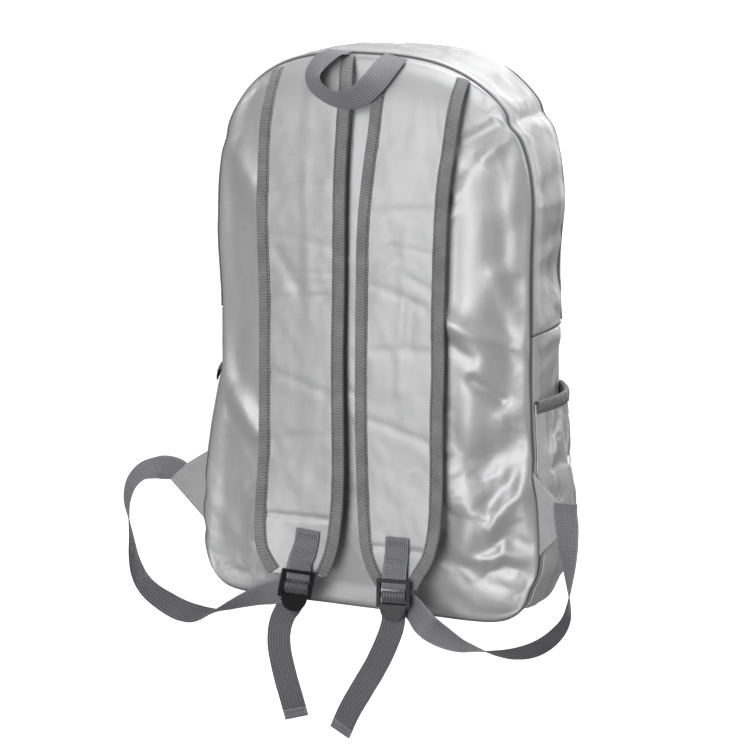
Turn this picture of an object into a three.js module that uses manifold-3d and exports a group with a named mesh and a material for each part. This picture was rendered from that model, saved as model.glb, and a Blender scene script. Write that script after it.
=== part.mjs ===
// A light packable backpack, stuffed to its full shape, seen from the side that lies on the wearer's back.
// Millimetres, +Z up, -Y out of the back panel. The origin is the middle of the back panel's top seam,
// where the shoulder straps and the carrying loop are sewn in and the bag hangs.
import * as THREE from 'three';
import { mergeVertices } from 'three/addons/utils/BufferGeometryUtils.js';
import Module from 'manifold-3d';

const wasm = await Module();
wasm.setup();

// Main sizes
const panelHeight = 454; // top seam to bottom seam
const panelHalfWidth = 136;
const archHeight = 130; // height of the rounded top
const archPowers = { left: 2.85, right: 2.4 }; // how square each shoulder of the back outline is
const frontArchPower = 2.75;
const cornerPower = 12; // how square the lower corners are
const bagDepth = 92; // back seam to front seam
const frontShare = 0.96; // width of the front outline against the back one
const frontDrop = 2; // how far the front outline's top lies below the back one's
const frontLift = 6; // how far the front outline's bottom lies above the back one's
const backBulge = 27; // how far stuffing pushes the back panel out
const frontBulge = 30;
const gussetBulge = { left: 6, right: 7.5 };
const baseBulge = 2;
const shoulderBulge = 4; // extra fullness at the top right
const domeRound = 2.2; // how flat the middle of a stuffed panel is
const domeFull = 0.8; // how steeply it rises from its seams
const foldReach = 3; // how soon the folds come up to full height from the seam
const fabric = 1.2; // wall of coated cloth with its seam turnings
const seamGap = 0.7; // between two sewn edges
const clearance = 0.3; // between pieces that touch

// Steps of the grids over the panels, the gusset and the straps, as [along or across, up or round]
const backSteps = [18, 26];
const frontSteps = [12, 16];
const topSteps = [36, 4];
const sideSteps = [14, 5];
const baseSteps = [16, 4];
const pocketSteps = [12, 12];
const strapSteps = [4, 23];
const webbingSteps = 2; // between two rows of a route
const carrySteps = 3;

// Zip
const zipEndDown = panelHeight * 0.471; // how far below the top the zip ends on each side
const zipFrom = 0.68; // where the zip runs, as shares of the depth
const zipTo = 0.84;
const zipSlit = 0.006; // share of the depth between the cloth and the zip's tape
const zipInset = 0.004; // share of the zip's length that it stops short at each end
const zipTape = 1;
const coilWidth = 4.6;
const coilHeight = 1.6;
const sliderLength = 11;
const sliderWidth = 7.5;
const sliderHeight = 3.6;
const pullLength = 24;
const pullWidth = 5;
const pullThick = 1.4;

// Side pockets
const pocketTop = panelHeight * 0.595; // mouth of the pocket below the top seam
const pocketBulge = { left: 7, right: 10 };
const mouthGap = 6; // how far the mouth stands off the bag's side
const gatherCount = 4; // small pleats under the mouth's elastic
const gatherDepth = 2.2;
const gatherStart = 0.04;
const mouthPower = 1.4; // how much closer the pocket's sections lie at its mouth
const gatherReach = 0.3; // how far down they run, as a share of the pocket's height
const pocketEdge = 0.035; // share of the depth between the pocket's edges and the seams
const elasticHeight = 9;
const elasticAbove = 2; // how far the elastic stands above the cloth of the mouth
const elasticThick = 1.3;

// Shoulder straps
const padThick = 4;
const padTopThick = 1.6; // where a strap is sewn into the top seam
const steepStandOff = 2.6; // more of it just below the top seam, where the panel is steep
const steepReach = 0.14;
const tipPower = 1.25; // how much closer a strap's sections lie at its tip
const padStandOff = 2.4; // between the back panel and the underside of a strap
const bindingReach = 11; // width of the edge tape on a face
const bindingThick = 0.8;
const bindingGap = 0.69; // between the edge tape and the padding
const padTipDown = panelHeight * 0.938; // lower end of a strap's padding

// Webbing and buckles
const webbingWidth = 20;
const webbingThick = 1;
const hemLength = 8;
const hemThick = 2.4;
const tailLength = 100;
const anchorReach = 46; // how far a buckle's short webbing runs up the strap
const railThick = 2.9;
const buckleInside = 21.6;
const buckleHalf = buckleInside / 2 + railThick;
const tongueLength = 11;
const tongueThick = 1.8;
const tongueLean = 9; // degrees off the buckle's own plane
const tongueRound = 4; // half of the straight part of its lower edge
const tabThick = 1.2;

// Half-widths of the outline down each side, as shares of panelHalfWidth.
const sideRows = [
  { down: 0.0, left: 1.0, right: 0.98 },
  { down: 0.33, left: 1.0, right: 0.99 },
  { down: 0.46, left: 0.96, right: 1.01 },
  { down: 0.58, left: 0.95, right: 1.03 },
  { down: 0.7, left: 1.0, right: 1.07 },
  { down: 0.8, left: 1.03, right: 1.12 },
  { down: 0.9, left: 1.03, right: 1.14 },
  { down: 1.0, left: 0.99, right: 1.07 },
];

// Soft folds of the back panel: a line from (x1, z1) to (x2, z2), as shares of the half-width and the height,
// with a width as a share of the half-width. A positive depth, a share of backBulge, stands out.
const backFolds = [
  { x1: 0.62, z1: 0.2, x2: 0.98, z2: 0.13, width: 0.14, depth: 0.12 },
  { x1: 0.7, z1: 0.27, x2: 0.72, z2: 0.62, width: 0.2, depth: 0.12 },
  { x1: 0.92, z1: 0.3, x2: 0.95, z2: 0.55, width: 0.12, depth: -0.16 },
  { x1: 0.62, z1: 0.47, x2: 1.0, z2: 0.6, width: 0.12, depth: 0.16 },
  { x1: 0.66, z1: 0.86, x2: 1.04, z2: 0.72, width: 0.15, depth: 0.2 },
  { x1: 0.78, z1: 0.72, x2: 1.0, z2: 0.67, width: 0.11, depth: -0.2 },
  { x1: 0.72, z1: 0.93, x2: 1.04, z2: 0.9, width: 0.1, depth: -0.18 },
  { x1: -0.98, z1: 0.58, x2: -0.7, z2: 0.7, width: 0.1, depth: 0.14 },
  { x1: -0.98, z1: 0.14, x2: -0.72, z2: 0.27, width: 0.12, depth: 0.14 },
];

// Creases of the front panel, in the same columns.
const frontFolds = [
  { x1: -0.7, z1: 0.22, x2: 0.1, z2: 0.3, width: 0.22, depth: 0.12 },
  { x1: 0.2, z1: 0.5, x2: 0.8, z2: 0.38, width: 0.22, depth: -0.12 },
  { x1: -0.8, z1: 0.72, x2: -0.1, z2: 0.62, width: 0.2, depth: -0.12 },
  { x1: 0.1, z1: 0.85, x2: 0.8, z2: 0.78, width: 0.2, depth: 0.12 },
];

// Each strap's middle and half-width at shares of its length from the top seam, as shares of panelHalfWidth,
// how far it hangs clear of the cloth beyond padStandOff, as a share of backBulge, and its slope across.
const strapRows = {
  left: [
    { down: 0.0, middle: -0.408, half: 0.246, off: 0.0, tilt: 0.0 },
    { down: 0.06, middle: -0.393, half: 0.27, off: 0.0, tilt: 0.0 },
    { down: 0.12, middle: -0.395, half: 0.279, off: 0.0, tilt: 0.0 },
    { down: 0.2, middle: -0.388, half: 0.279, off: 0.0, tilt: 0.0 },
    { down: 0.32, middle: -0.375, half: 0.279, off: 0.0, tilt: 0.0 },
    { down: 0.45, middle: -0.353, half: 0.272, off: 0.0, tilt: 0.0 },
    { down: 0.57, middle: -0.34, half: 0.269, off: 0.02, tilt: 0.0 },
    { down: 0.75, middle: -0.316, half: 0.272, off: 0.13, tilt: 0.0 },
    { down: 0.84, middle: -0.313, half: 0.275, off: 0.28, tilt: 0.03 },
    { down: 0.915, middle: -0.32, half: 0.26, off: 0.43, tilt: 0.12 },
    { down: 0.955, middle: -0.321, half: 0.235, off: 0.53, tilt: 0.19 },
    { down: 0.98, middle: -0.313, half: 0.2, off: 0.6, tilt: 0.24 },
    { down: 1.0, middle: -0.303, half: 0.165, off: 0.66, tilt: 0.28 },
  ],
  right: [
    { down: 0.0, middle: 0.301, half: 0.257, off: 0.0, tilt: 0.0 },
    { down: 0.07, middle: 0.29, half: 0.26, off: 0.0, tilt: 0.0 },
    { down: 0.13, middle: 0.283, half: 0.26, off: 0.0, tilt: 0.0 },
    { down: 0.22, middle: 0.268, half: 0.26, off: 0.0, tilt: 0.0 },
    { down: 0.32, middle: 0.261, half: 0.266, off: 0.0, tilt: 0.0 },
    { down: 0.42, middle: 0.267, half: 0.266, off: 0.0, tilt: 0.0 },
    { down: 0.54, middle: 0.283, half: 0.268, off: 0.02, tilt: 0.0 },
    { down: 0.665, middle: 0.294, half: 0.264, off: 0.07, tilt: 0.0 },
    { down: 0.79, middle: 0.313, half: 0.26, off: 0.18, tilt: 0.0 },
    { down: 0.885, middle: 0.329, half: 0.248, off: 0.36, tilt: 0.0 },
    { down: 0.935, middle: 0.327, half: 0.224, off: 0.48, tilt: 0.0 },
    { down: 0.975, middle: 0.32, half: 0.168, off: 0.58, tilt: 0.0 },
    { down: 1.0, middle: 0.327, half: 0.125, off: 0.66, tilt: 0.0 },
  ],
};

// Routes of the webbing from the tip of its tab to its buckle: shares of panelHalfWidth across, of
// panelHeight down and of strapOut outwards. turn is how far it is twisted from lying flat, in degrees.
const strapOut = 38;
const loopRows = {
  left: [
    { across: -1.3, down: 0.786, out: -0.045, turn: 8 },
    { across: -1.36, down: 0.788, out: 0.0, turn: 30 },
    { across: -1.44, down: 0.796, out: 0.08, turn: 40 },
    { across: -1.5, down: 0.818, out: 0.16, turn: 42 },
    { across: -1.52, down: 0.85, out: 0.22, turn: 49 },
    { across: -1.5, down: 0.881, out: 0.27, turn: 62 },
    { across: -1.47, down: 0.916, out: 0.33, turn: 74 },
    { across: -1.44, down: 0.952, out: 0.4, turn: 88 },
    { across: -1.39, down: 0.985, out: 0.46, turn: 103 },
    { across: -1.31, down: 1.008, out: 0.53, turn: 118 },
    { across: -1.2, down: 1.024, out: 0.6, turn: 130 },
    { across: -1.09, down: 1.035, out: 0.66, turn: 136 },
    { across: -0.99, down: 1.038, out: 0.72, turn: 128 },
    { across: -0.9, down: 1.034, out: 0.77, turn: 106 },
    { across: -0.81, down: 1.024, out: 0.83, turn: 80 },
    { across: -0.69, down: 1.006, out: 0.91, turn: 60 },
    { across: -0.56, down: 0.987, out: 1.02, turn: 38 },
  ],
  right: [
    { across: 1.3, down: 0.805, out: 0.09, turn: 4 },
    { across: 1.325, down: 0.848, out: 0.18, turn: 25 },
    { across: 1.345, down: 0.9, out: 0.26, turn: 56 },
    { across: 1.356, down: 0.941, out: 0.34, turn: 82 },
    { across: 1.35, down: 0.966, out: 0.4, turn: 100 },
    { across: 1.315, down: 0.988, out: 0.46, turn: 118 },
    { across: 1.25, down: 1.01, out: 0.52, turn: 129 },
    { across: 1.16, down: 1.027, out: 0.58, turn: 134 },
    { across: 1.05, down: 1.036, out: 0.64, turn: 128 },
    { across: 0.95, down: 1.037, out: 0.7, turn: 116 },
    { across: 0.86, down: 1.034, out: 0.76, turn: 100 },
    { across: 0.75, down: 1.029, out: 0.83, turn: 76 },
    { across: 0.64, down: 1.014, out: 0.95, turn: 48 },
    { across: 0.55, down: 0.995, out: 1.08, turn: 22 },
  ],
};

// The last stretch of each route behind the buckle, in its own frame, as shares of webbingWidth.
const leadRows = {
  left: [
    { across: -0.62, up: -0.42, out: -0.33 },
    { across: -0.26, up: -0.26, out: -0.27 },
    { across: -0.06, up: -0.14, out: -0.225 },
  ],
  right: [
    { across: 0.66, up: -0.52, out: -0.36 },
    { across: 0.3, up: -0.31, out: -0.29 },
    { across: 0.07, up: -0.15, out: -0.23 },
  ],
};

// How each free tail hangs from its buckle, as shares of tailLength.
const tailRows = {
  left: [
    { down: 0.08, side: -0.05, out: 0.01, turn: 180 },
    { down: 0.2, side: -0.09, out: 0.02, turn: 178 },
    { down: 0.36, side: -0.09, out: 0.03, turn: 176 },
    { down: 0.6, side: -0.03, out: 0.03, turn: 172 },
    { down: 0.8, side: 0.035, out: 0.02, turn: 170 },
    { down: 0.96, side: 0.08, out: 0.0, turn: 170 },
  ],
  right: [
    { down: 0.1, side: 0.0, out: 0.01, turn: 180 },
    { down: 0.25, side: -0.04, out: 0.02, turn: 180 },
    { down: 0.45, side: -0.12, out: 0.03, turn: 184 },
    { down: 0.66, side: -0.23, out: 0.03, turn: 186 },
    { down: 0.87, side: -0.34, out: 0.02, turn: 188 },
    { down: 1.06, side: -0.42, out: 0.0, turn: 188 },
  ],
};

// Where each buckle sits: its middle as shares of panelHalfWidth and panelHeight, and its own turns in degrees,
// and how far it is lifted off its strap beyond its webbing.
const buckleRows = {
  left: { across: -0.287, down: 0.953, yaw: 30, lean: 8, lift: 2.5 },
  right: { across: 0.332, down: 0.948, yaw: 8, lean: -1, lift: 1.4 },
};

// The carrying loop from its left end to its right one: shares of loopSpread across from the top's middle,
// of loopHang down and of loopOut outwards, with the direction of its width.
const loopSpread = 65;
const loopHang = 37;
const loopOut = 36;
const carryRows = [
  { across: -0.51, down: -0.02, out: 0.05, widthX: 1, widthY: 0, widthZ: 0 },
  { across: -0.52, down: -0.015, out: 0.22, widthX: 1, widthY: -0.05, widthZ: -0.05 },
  { across: -0.58, down: 0.05, out: 0.43, widthX: 0.98, widthY: -0.15, widthZ: 0.05 },
  { across: -0.68, down: 0.24, out: 0.6, widthX: 0.95, widthY: -0.3, widthZ: 0.05 },
  { across: -0.72, down: 0.45, out: 0.73, widthX: 0.88, widthY: -0.42, widthZ: 0.15 },
  { across: -0.67, down: 0.68, out: 0.85, widthX: 0.7, widthY: -0.58, widthZ: 0.38 },
  { across: -0.51, down: 0.89, out: 0.94, widthX: 0.35, widthY: -0.68, widthZ: 0.6 },
  { across: -0.28, down: 0.98, out: 1.0, widthX: -0.05, widthY: -0.66, widthZ: 0.74 },
  { across: -0.07, down: 0.87, out: 0.98, widthX: -0.38, widthY: -0.5, widthZ: 0.77 },
  { across: 0.08, down: 0.6, out: 0.88, widthX: -0.68, widthY: -0.3, widthZ: 0.68 },
  { across: 0.17, down: 0.31, out: 0.64, widthX: -0.85, widthY: -0.1, widthZ: 0.5 },
  { across: 0.22, down: 0.11, out: 0.38, widthX: -0.95, widthY: 0, widthZ: 0.28 },
  { across: 0.24, down: 0.02, out: 0.205, widthX: -1, widthY: 0, widthZ: 0.15 },
];

const cloth = new THREE.MeshStandardMaterial({ color: 0xc4c4c6, roughness: 0.42, metalness: 0.0 });
const tape = new THREE.MeshStandardMaterial({ color: 0x77777a, roughness: 0.85, metalness: 0.0 });
const webbingCloth = new THREE.MeshStandardMaterial({ color: 0x7b7b80, roughness: 0.7, metalness: 0.0 });
const elasticCloth = new THREE.MeshStandardMaterial({ color: 0x6c6c6e, roughness: 0.85, metalness: 0.0 });
const plastic = new THREE.MeshStandardMaterial({ color: 0x1c1c1f, roughness: 0.35, metalness: 0.0 });

const vec = (x, y, z) => new THREE.Vector3(x, y, z);
const radians = THREE.MathUtils.degToRad;
const lerp = THREE.MathUtils.lerp;

// Reads one column of a table of rows, smoothly between its rows.
function readRows(rows, key, column, at) {
  const last = rows.length - 1;
  let i = 0;
  while (i < last - 1 && at > rows[i + 1][key]) i += 1;
  const low = rows[i];
  const high = rows[i + 1];
  const share = THREE.MathUtils.clamp((at - low[key]) / (high[key] - low[key]), 0, 1);
  const before = rows[Math.max(i - 1, 0)];
  const after = rows[Math.min(i + 2, last)];
  const slope = (a, b) => (b[column] - a[column]) / Math.max(b[key] - a[key], 1e-6);
  const span = high[key] - low[key];
  const startSlope = slope(before, high) * span;
  const endSlope = slope(low, after) * span;
  const s2 = share * share;
  const s3 = s2 * share;
  return (
    (2 * s3 - 3 * s2 + 1) * low[column] +
    (s3 - 2 * s2 + share) * startSlope +
    (3 * s2 - 2 * s3) * high[column] +
    (s3 - s2) * endSlope
  );
}

// The outline of a panel. Sides are named by the letter of the viewer's left or right.
const squareFrom = 0.44; // share of the height below which the corners' curve begins

const backOutline = { top: 0, bottom: -panelHeight, share: 1, powers: archPowers };
const frontOutline = {
  top: -frontDrop,
  bottom: -panelHeight + frontLift,
  share: frontShare,
  powers: { left: frontArchPower, right: frontArchPower },
};

function sideWidth(outline, side, z) {
  const down = (outline.top - z) / (outline.top - outline.bottom);
  return readRows(sideRows, 'down', side, down) * panelHalfWidth * outline.share;
}

// The two shares that say how near a height is to the outline's top and bottom, from 0 to 1.
function endShares(outline, z) {
  const height = outline.top - outline.bottom;
  const archFoot = outline.top - archHeight;
  const squareTop = outline.top - height * squareFrom;
  return {
    arch: THREE.MathUtils.clamp((z - archFoot) / archHeight, 0, 1),
    corner: THREE.MathUtils.clamp((squareTop - z) / (squareTop - outline.bottom), 0, 1),
  };
}

// One half of an outline from the top middle to the bottom middle, as closely spaced points.
function halfOutline(outline, side) {
  const sign = side === 'right' ? 1 : -1;
  const power = outline.powers[side];
  const fine = 60;
  const points = [];
  const height = outline.top - outline.bottom;
  const archFoot = outline.top - archHeight;
  const squareTop = outline.top - height * squareFrom;
  const halfPoint = Math.pow(0.5, 1 / cornerPower);
  const add = (share, z) => points.push(vec(sign * share * sideWidth(outline, side, z), 0, z));
  for (let i = 0; i <= fine; i += 1) {
    const angle = (Math.PI / 2) * (1 - i / fine);
    const z = archFoot + archHeight * Math.pow(Math.sin(angle), 2 / power);
    add(Math.pow(Math.cos(angle), 2 / power), z);
  }
  for (let i = 1; i < fine; i += 1) add(1, lerp(archFoot, squareTop, i / fine));
  for (let i = 0; i <= fine; i += 1) {
    const near = halfPoint * (i / fine);
    add(Math.pow(1 - Math.pow(near, cornerPower), 1 / cornerPower), lerp(squareTop, outline.bottom, near));
  }
  for (let i = fine - 1; i >= 0; i -= 1) {
    const near = halfPoint * (i / fine);
    const z = lerp(squareTop, outline.bottom, Math.pow(1 - Math.pow(near, cornerPower), 1 / cornerPower));
    add(near, z);
  }
  return new SpacedLine(points);
}

// A line of points that is read by its share of length.
class SpacedLine {
  constructor(points) {
    this.points = points;
    this.lengths = [0];
    for (let i = 1; i < points.length; i += 1) {
      this.lengths.push(this.lengths[i - 1] + points[i].distanceTo(points[i - 1]));
    }
    this.length = this.lengths[points.length - 1];
  }

  at(share) {
    const wanted = THREE.MathUtils.clamp(share, 0, 1) * this.length;
    let i = 1;
    while (i < this.points.length - 1 && this.lengths[i] < wanted) i += 1;
    const span = Math.max(this.lengths[i] - this.lengths[i - 1], 1e-9);
    return this.points[i - 1].clone().lerp(this.points[i], (wanted - this.lengths[i - 1]) / span);
  }

  shareAtHeight(z) {
    const i = this.points.findIndex((p) => p.z <= z);
    return this.lengths[Math.max(i, 0)] / this.length;
  }
}

const halves = {
  back: { left: halfOutline(backOutline, 'left'), right: halfOutline(backOutline, 'right') },
  front: { left: halfOutline(frontOutline, 'left'), right: halfOutline(frontOutline, 'right') },
};

// How far a panel swells from its seam at a place, before its folds.
function swell(outline, x, z) {
  const side = x < 0 ? 'left' : 'right';
  const across = Math.min(Math.abs(x) / sideWidth(outline, side, z), 1);
  const { arch, corner } = endShares(outline, z);
  const dome = (r) => Math.pow(Math.max(1 - Math.pow(r, domeRound), 0), domeFull);
  const power = outline.powers[side];
  const radius = Math.pow(Math.pow(across, power) + Math.pow(arch, power), 1 / power);
  return dome(Math.min(radius, 1)) * dome(corner);
}

// The height of the back panel's top seam at a place across it.
function seamHeight(x) {
  const power = archPowers[x < 0 ? 'left' : 'right'];
  const share = Math.min(Math.abs(x) / panelHalfWidth, 1);
  return archHeight * (Math.pow(1 - Math.pow(share, power), 1 / power) - 1);
}

function foldHeight(folds, x, z) {
  let sum = 0;
  for (const fold of folds) {
    const x1 = fold.x1 * panelHalfWidth;
    const z1 = -fold.z1 * panelHeight;
    const dx = fold.x2 * panelHalfWidth - x1;
    const dz = -fold.z2 * panelHeight - z1;
    const length = Math.hypot(dx, dz);
    const along = ((x - x1) * dx + (z - z1) * dz) / (length * length);
    const nearest = THREE.MathUtils.clamp(along, 0, 1);
    const distance = Math.hypot(x - x1 - dx * nearest, z - z1 - dz * nearest);
    const ratio = distance / (fold.width * panelHalfWidth);
    sum += fold.depth * Math.exp(-ratio * ratio);
  }
  return sum;
}

// Middle surfaces of the two panels.
function backY(x, z) {
  const share = swell(backOutline, x, z);
  const held = Math.min(share * foldReach, 1);
  return -backBulge * (share + foldHeight(backFolds, x, z) * held);
}

function frontY(x, z) {
  const share = swell(frontOutline, x, z);
  const held = Math.min(share * foldReach, 1);
  return bagDepth + frontBulge * (share + foldHeight(frontFolds, x, z) * held);
}

// A closed geometry from points and triangles, facing out.
function closedGeometry(points, triangles) {
  let volume = 0;
  for (const [a, b, c] of triangles) volume += points[a].dot(points[b].clone().cross(points[c]));
  const order = volume < 0 ? triangles.map(([a, b, c]) => [a, c, b]) : triangles;
  const geometry = new THREE.BufferGeometry();
  geometry.setAttribute('position', new THREE.Float32BufferAttribute(points.flatMap((p) => p.toArray()), 3));
  geometry.setIndex(order.flat());
  geometry.computeVertexNormals();
  return geometry;
}

// A wall round a grid of middle-surface points, of one thickness or one for each row of the grid.
function sheet(grid, thickness) {
  const thicknessAt = (i) => (Array.isArray(thickness) ? thickness[i] : thickness);
  const rows = grid.length;
  const columns = grid[0].length;
  const outer = [];
  const inner = [];
  for (let i = 0; i < rows; i += 1) {
    for (let j = 0; j < columns; j += 1) {
      const up = grid[Math.min(i + 1, rows - 1)][j].clone().sub(grid[Math.max(i - 1, 0)][j]);
      const across = grid[i][Math.min(j + 1, columns - 1)].clone().sub(grid[i][Math.max(j - 1, 0)]);
      const normal = up.cross(across).normalize().multiplyScalar(thicknessAt(i) / 2);
      outer.push(grid[i][j].clone().add(normal));
      inner.push(grid[i][j].clone().sub(normal));
    }
  }
  const count = rows * columns;
  const triangles = [];
  const quad = (a, b, c, d) => triangles.push([a, b, c], [a, c, d]);
  for (let i = 0; i < rows - 1; i += 1) {
    for (let j = 0; j < columns - 1; j += 1) {
      const a = i * columns + j;
      quad(a, a + 1, a + columns + 1, a + columns);
      quad(a + count, a + columns + count, a + columns + 1 + count, a + 1 + count);
    }
  }
  const edge = [];
  for (let j = 0; j < columns - 1; j += 1) edge.push(j);
  for (let i = 0; i < rows - 1; i += 1) edge.push(i * columns + columns - 1);
  for (let j = columns - 1; j > 0; j -= 1) edge.push((rows - 1) * columns + j);
  for (let i = rows - 1; i > 0; i -= 1) edge.push(i * columns);
  edge.forEach((a, k) => {
    const b = edge[(k + 1) % edge.length];
    quad(a, a + count, b + count, b);
  });
  return closedGeometry([...outer, ...inner], triangles);
}

// Carries a flat profile along stations. A station has a place, a direction across and a normal,
// and profile points are [across, normal] pairs; section(share) may give each station its own.
function sweep(stations, section) {
  const points = [];
  const triangles = [];
  const last = stations.length - 1;
  const count = section(0).length;
  stations.forEach(({ place, across, normal }, i) => {
    for (const [a, n] of section(i / last)) {
      points.push(place.clone().addScaledVector(across, a).addScaledVector(normal, n));
    }
  });
  for (let i = 0; i < last; i += 1) {
    for (let k = 0; k < count; k += 1) {
      const next = (k + 1) % count;
      const a = i * count + k;
      const b = i * count + next;
      const forwards = section(i / last)[k][0] <= section(i / last)[next][0];
      if (forwards) triangles.push([a, b, b + count], [a, b + count, a + count]);
      else triangles.push([a, b, a + count], [b, b + count, a + count]);
    }
  }
  const cap = (share) => {
    const flat = section(share).map(([a, n]) => new THREE.Vector2(a, n));
    return THREE.ShapeUtils.triangulateShape(flat, []);
  };
  const turned = THREE.ShapeUtils.isClockWise(section(0).map(([a, n]) => new THREE.Vector2(a, n)));
  for (const [a, b, c] of cap(0)) triangles.push(turned ? [a, b, c] : [a, c, b]);
  const base = last * count;
  for (const [a, b, c] of cap(1)) {
    triangles.push(turned ? [base + a, base + c, base + b] : [base + a, base + b, base + c]);
  }
  return closedGeometry(points, triangles);
}

function rectangle(width, thickness) {
  const w = width / 2;
  const t = thickness / 2;
  return [
    [-w, -t],
    [w, -t],
    [w, t],
    [-w, t],
  ];
}

// Stations of a flat strap through places that each have a direction across.
function strapStations(places, stepsEach) {
  const steps = (places.length - 1) * stepsEach;
  const middle = new THREE.CatmullRomCurve3(places.map((p) => p.place), false, 'centripetal');
  const turns = new THREE.CatmullRomCurve3(places.map((p) => p.across), false, 'centripetal');
  const stations = [];
  for (let i = 0; i <= steps; i += 1) {
    const at = i / steps;
    const tangent = middle.getTangent(at);
    const across = turns.getPoint(at);
    across.addScaledVector(tangent, -across.dot(tangent)).normalize();
    const normal = across.clone().cross(tangent).normalize();
    stations.push({ place: middle.getPoint(at), across, normal });
  }
  return stations;
}

// The direction across a strap that runs along tangent, turned by so many degrees from lying flat.
function turnedAcross(tangent, turn) {
  const flat = tangent.clone().cross(vec(0, 1, 0)).normalize();
  const out = tangent.clone().cross(flat).normalize();
  return flat.multiplyScalar(Math.cos(radians(turn))).addScaledVector(out, Math.sin(radians(turn)));
}

// Joins closed geometries that may overlap into one solid.
function fused(geometries) {
  const solids = geometries.map((geometry) => {
    const bare = geometry.clone();
    bare.deleteAttribute('normal');
    bare.deleteAttribute('uv');
    const merged = mergeVertices(bare, 1e-4);
    return new wasm.Manifold(
      new wasm.Mesh({
        numProp: 3,
        vertProperties: new Float32Array(merged.attributes.position.array),
        triVerts: new Uint32Array(merged.index.array),
      }),
    );
  });
  const whole = solids.reduce((sum, solid) => sum.add(solid)).getMesh();
  const geometry = new THREE.BufferGeometry();
  geometry.setAttribute('position', new THREE.Float32BufferAttribute(whole.vertProperties, 3));
  geometry.setIndex(Array.from(whole.triVerts));
  geometry.computeVertexNormals();
  return geometry;
}

const backpack = new THREE.Group();

function addPiece(name, geometry, material) {
  const mesh = new THREE.Mesh(geometry, material);
  mesh.name = name;
  backpack.add(mesh);
  return mesh;
}

// A grid over a panel, from its four sides, with one column per step across and one row per step up.
function panelGrid(line, outline, surface, across, up) {
  const topShare = (side) => line[side].shareAtHeight(outline.top - archHeight * 0.25);
  const cornerShare = (side) => {
    const squareTop = lerp(outline.top, outline.bottom, squareFrom);
    const near = Math.pow(0.5, 1 / cornerPower);
    return line[side].shareAtHeight(lerp(squareTop, outline.bottom, near));
  };
  const sidePoint = (side, t) => line[side].at(lerp(cornerShare(side), topShare(side), t));
  const endPoint = (s, share, end) => {
    const side = s < 0.5 ? 'left' : 'right';
    return line[side].at(lerp(end, share(side), Math.abs(2 * s - 1)));
  };
  const grid = [];
  for (let i = 0; i <= up; i += 1) {
    const t = i / up;
    const row = [];
    for (let j = 0; j <= across; j += 1) {
      const s = j / across;
      const low = endPoint(s, cornerShare, 1);
      const high = endPoint(s, topShare, 0);
      const left = sidePoint('left', t);
      const right = sidePoint('right', t);
      const corners = (a, b, c, d) => (1 - s) * (1 - t) * a + s * (1 - t) * b + (1 - s) * t * c + s * t * d;
      const ends = [sidePoint('left', 0), sidePoint('right', 0), sidePoint('left', 1), sidePoint('right', 1)];
      const blend = (k) =>
        (1 - t) * low[k] + t * high[k] + (1 - s) * left[k] + s * right[k] - corners(...ends.map((p) => p[k]));
      const x = blend('x');
      const z = blend('z');
      row.push(vec(x, surface(x, z), z));
    }
    grid.push(row);
  }
  return grid;
}

// A point of the gusset: share down one half of the outline, and share of the depth.
function gussetPoint(side, down, deep, lift = 0) {
  const back = halves.back[side].at(down);
  const front = halves.front[side].at(down);
  const ahead = halves.back[side].at(Math.min(down + 0.004, 1));
  const behind = halves.back[side].at(Math.max(down - 0.004, 0));
  const along = ahead.sub(behind).normalize();
  const sign = side === 'right' ? 1 : -1;
  const out = vec(-sign * along.z, 0, sign * along.x);
  const atBase = THREE.MathUtils.smoothstep(-out.z, 0.2, 0.9);
  const shoulder = shoulderBulge * sign * Math.max(out.x * out.z, 0) * 2;
  const bulge = (lerp(gussetBulge[side], baseBulge, atBase) + Math.max(shoulder, 0)) * Math.sin(Math.PI * deep);
  const backEdge = backY(back.x, back.z) + fabric * 0.5 + seamGap;
  const y = lerp(backEdge, bagDepth - fabric * 0.5 - seamGap, deep);
  const place = back.lerp(front, deep).addScaledVector(out, bulge + lift);
  place.y = y;
  return { place, out };
}

function addPanels() {
  const back = panelGrid(halves.back, backOutline, backY, ...backSteps);
  const front = panelGrid(halves.front, frontOutline, frontY, ...frontSteps);
  addPiece('back_panel', sheet(back, fabric), cloth);
  addPiece('front_panel', sheet(front, fabric), cloth);
}

// Wrinkles across the gusset, as rows of share down a side, with widths and depths in shares of gussetBulge.
const gussetFolds = [
  { down: 0.16, deep: 0.4, width: 0.03, depth: -0.45 },
  { down: 0.3, deep: 0.6, width: 0.03, depth: 0.4 },
  { down: 0.38, deep: 0.45, width: 0.025, depth: -0.5 },
  { down: 0.47, deep: 0.7, width: 0.03, depth: 0.55 },
  { down: 0.53, deep: 0.4, width: 0.025, depth: -0.45 },
];

const wrinkleReach = 0.35; // how far a wrinkle runs across, as a share of the depth

function gussetWrinkle(down, deep) {
  let sum = 0;
  for (const fold of gussetFolds) {
    const ratio = (down - fold.down) / fold.width;
    const reach = (deep - fold.deep) / wrinkleReach;
    sum += fold.depth * Math.exp(-ratio * ratio - reach * reach);
  }
  return sum * gussetBulge.right * Math.sin(Math.PI * deep);
}

// Part of the gusset between two shares of one side's outline, or across the top or base.
function gussetStrip(stops, deepFrom, deepTo, steps, acrossSteps) {
  const grid = [];
  for (let i = 0; i <= steps; i += 1) {
    const { side, down } = stops(i / steps);
    const row = [];
    for (let j = 0; j <= acrossSteps; j += 1) {
      const deep = lerp(deepFrom, deepTo, j / acrossSteps);
      row.push(gussetPoint(side, down, deep, gussetWrinkle(down, deep)).place);
    }
    grid.push(row);
  }
  return sheet(grid, fabric);
}

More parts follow.
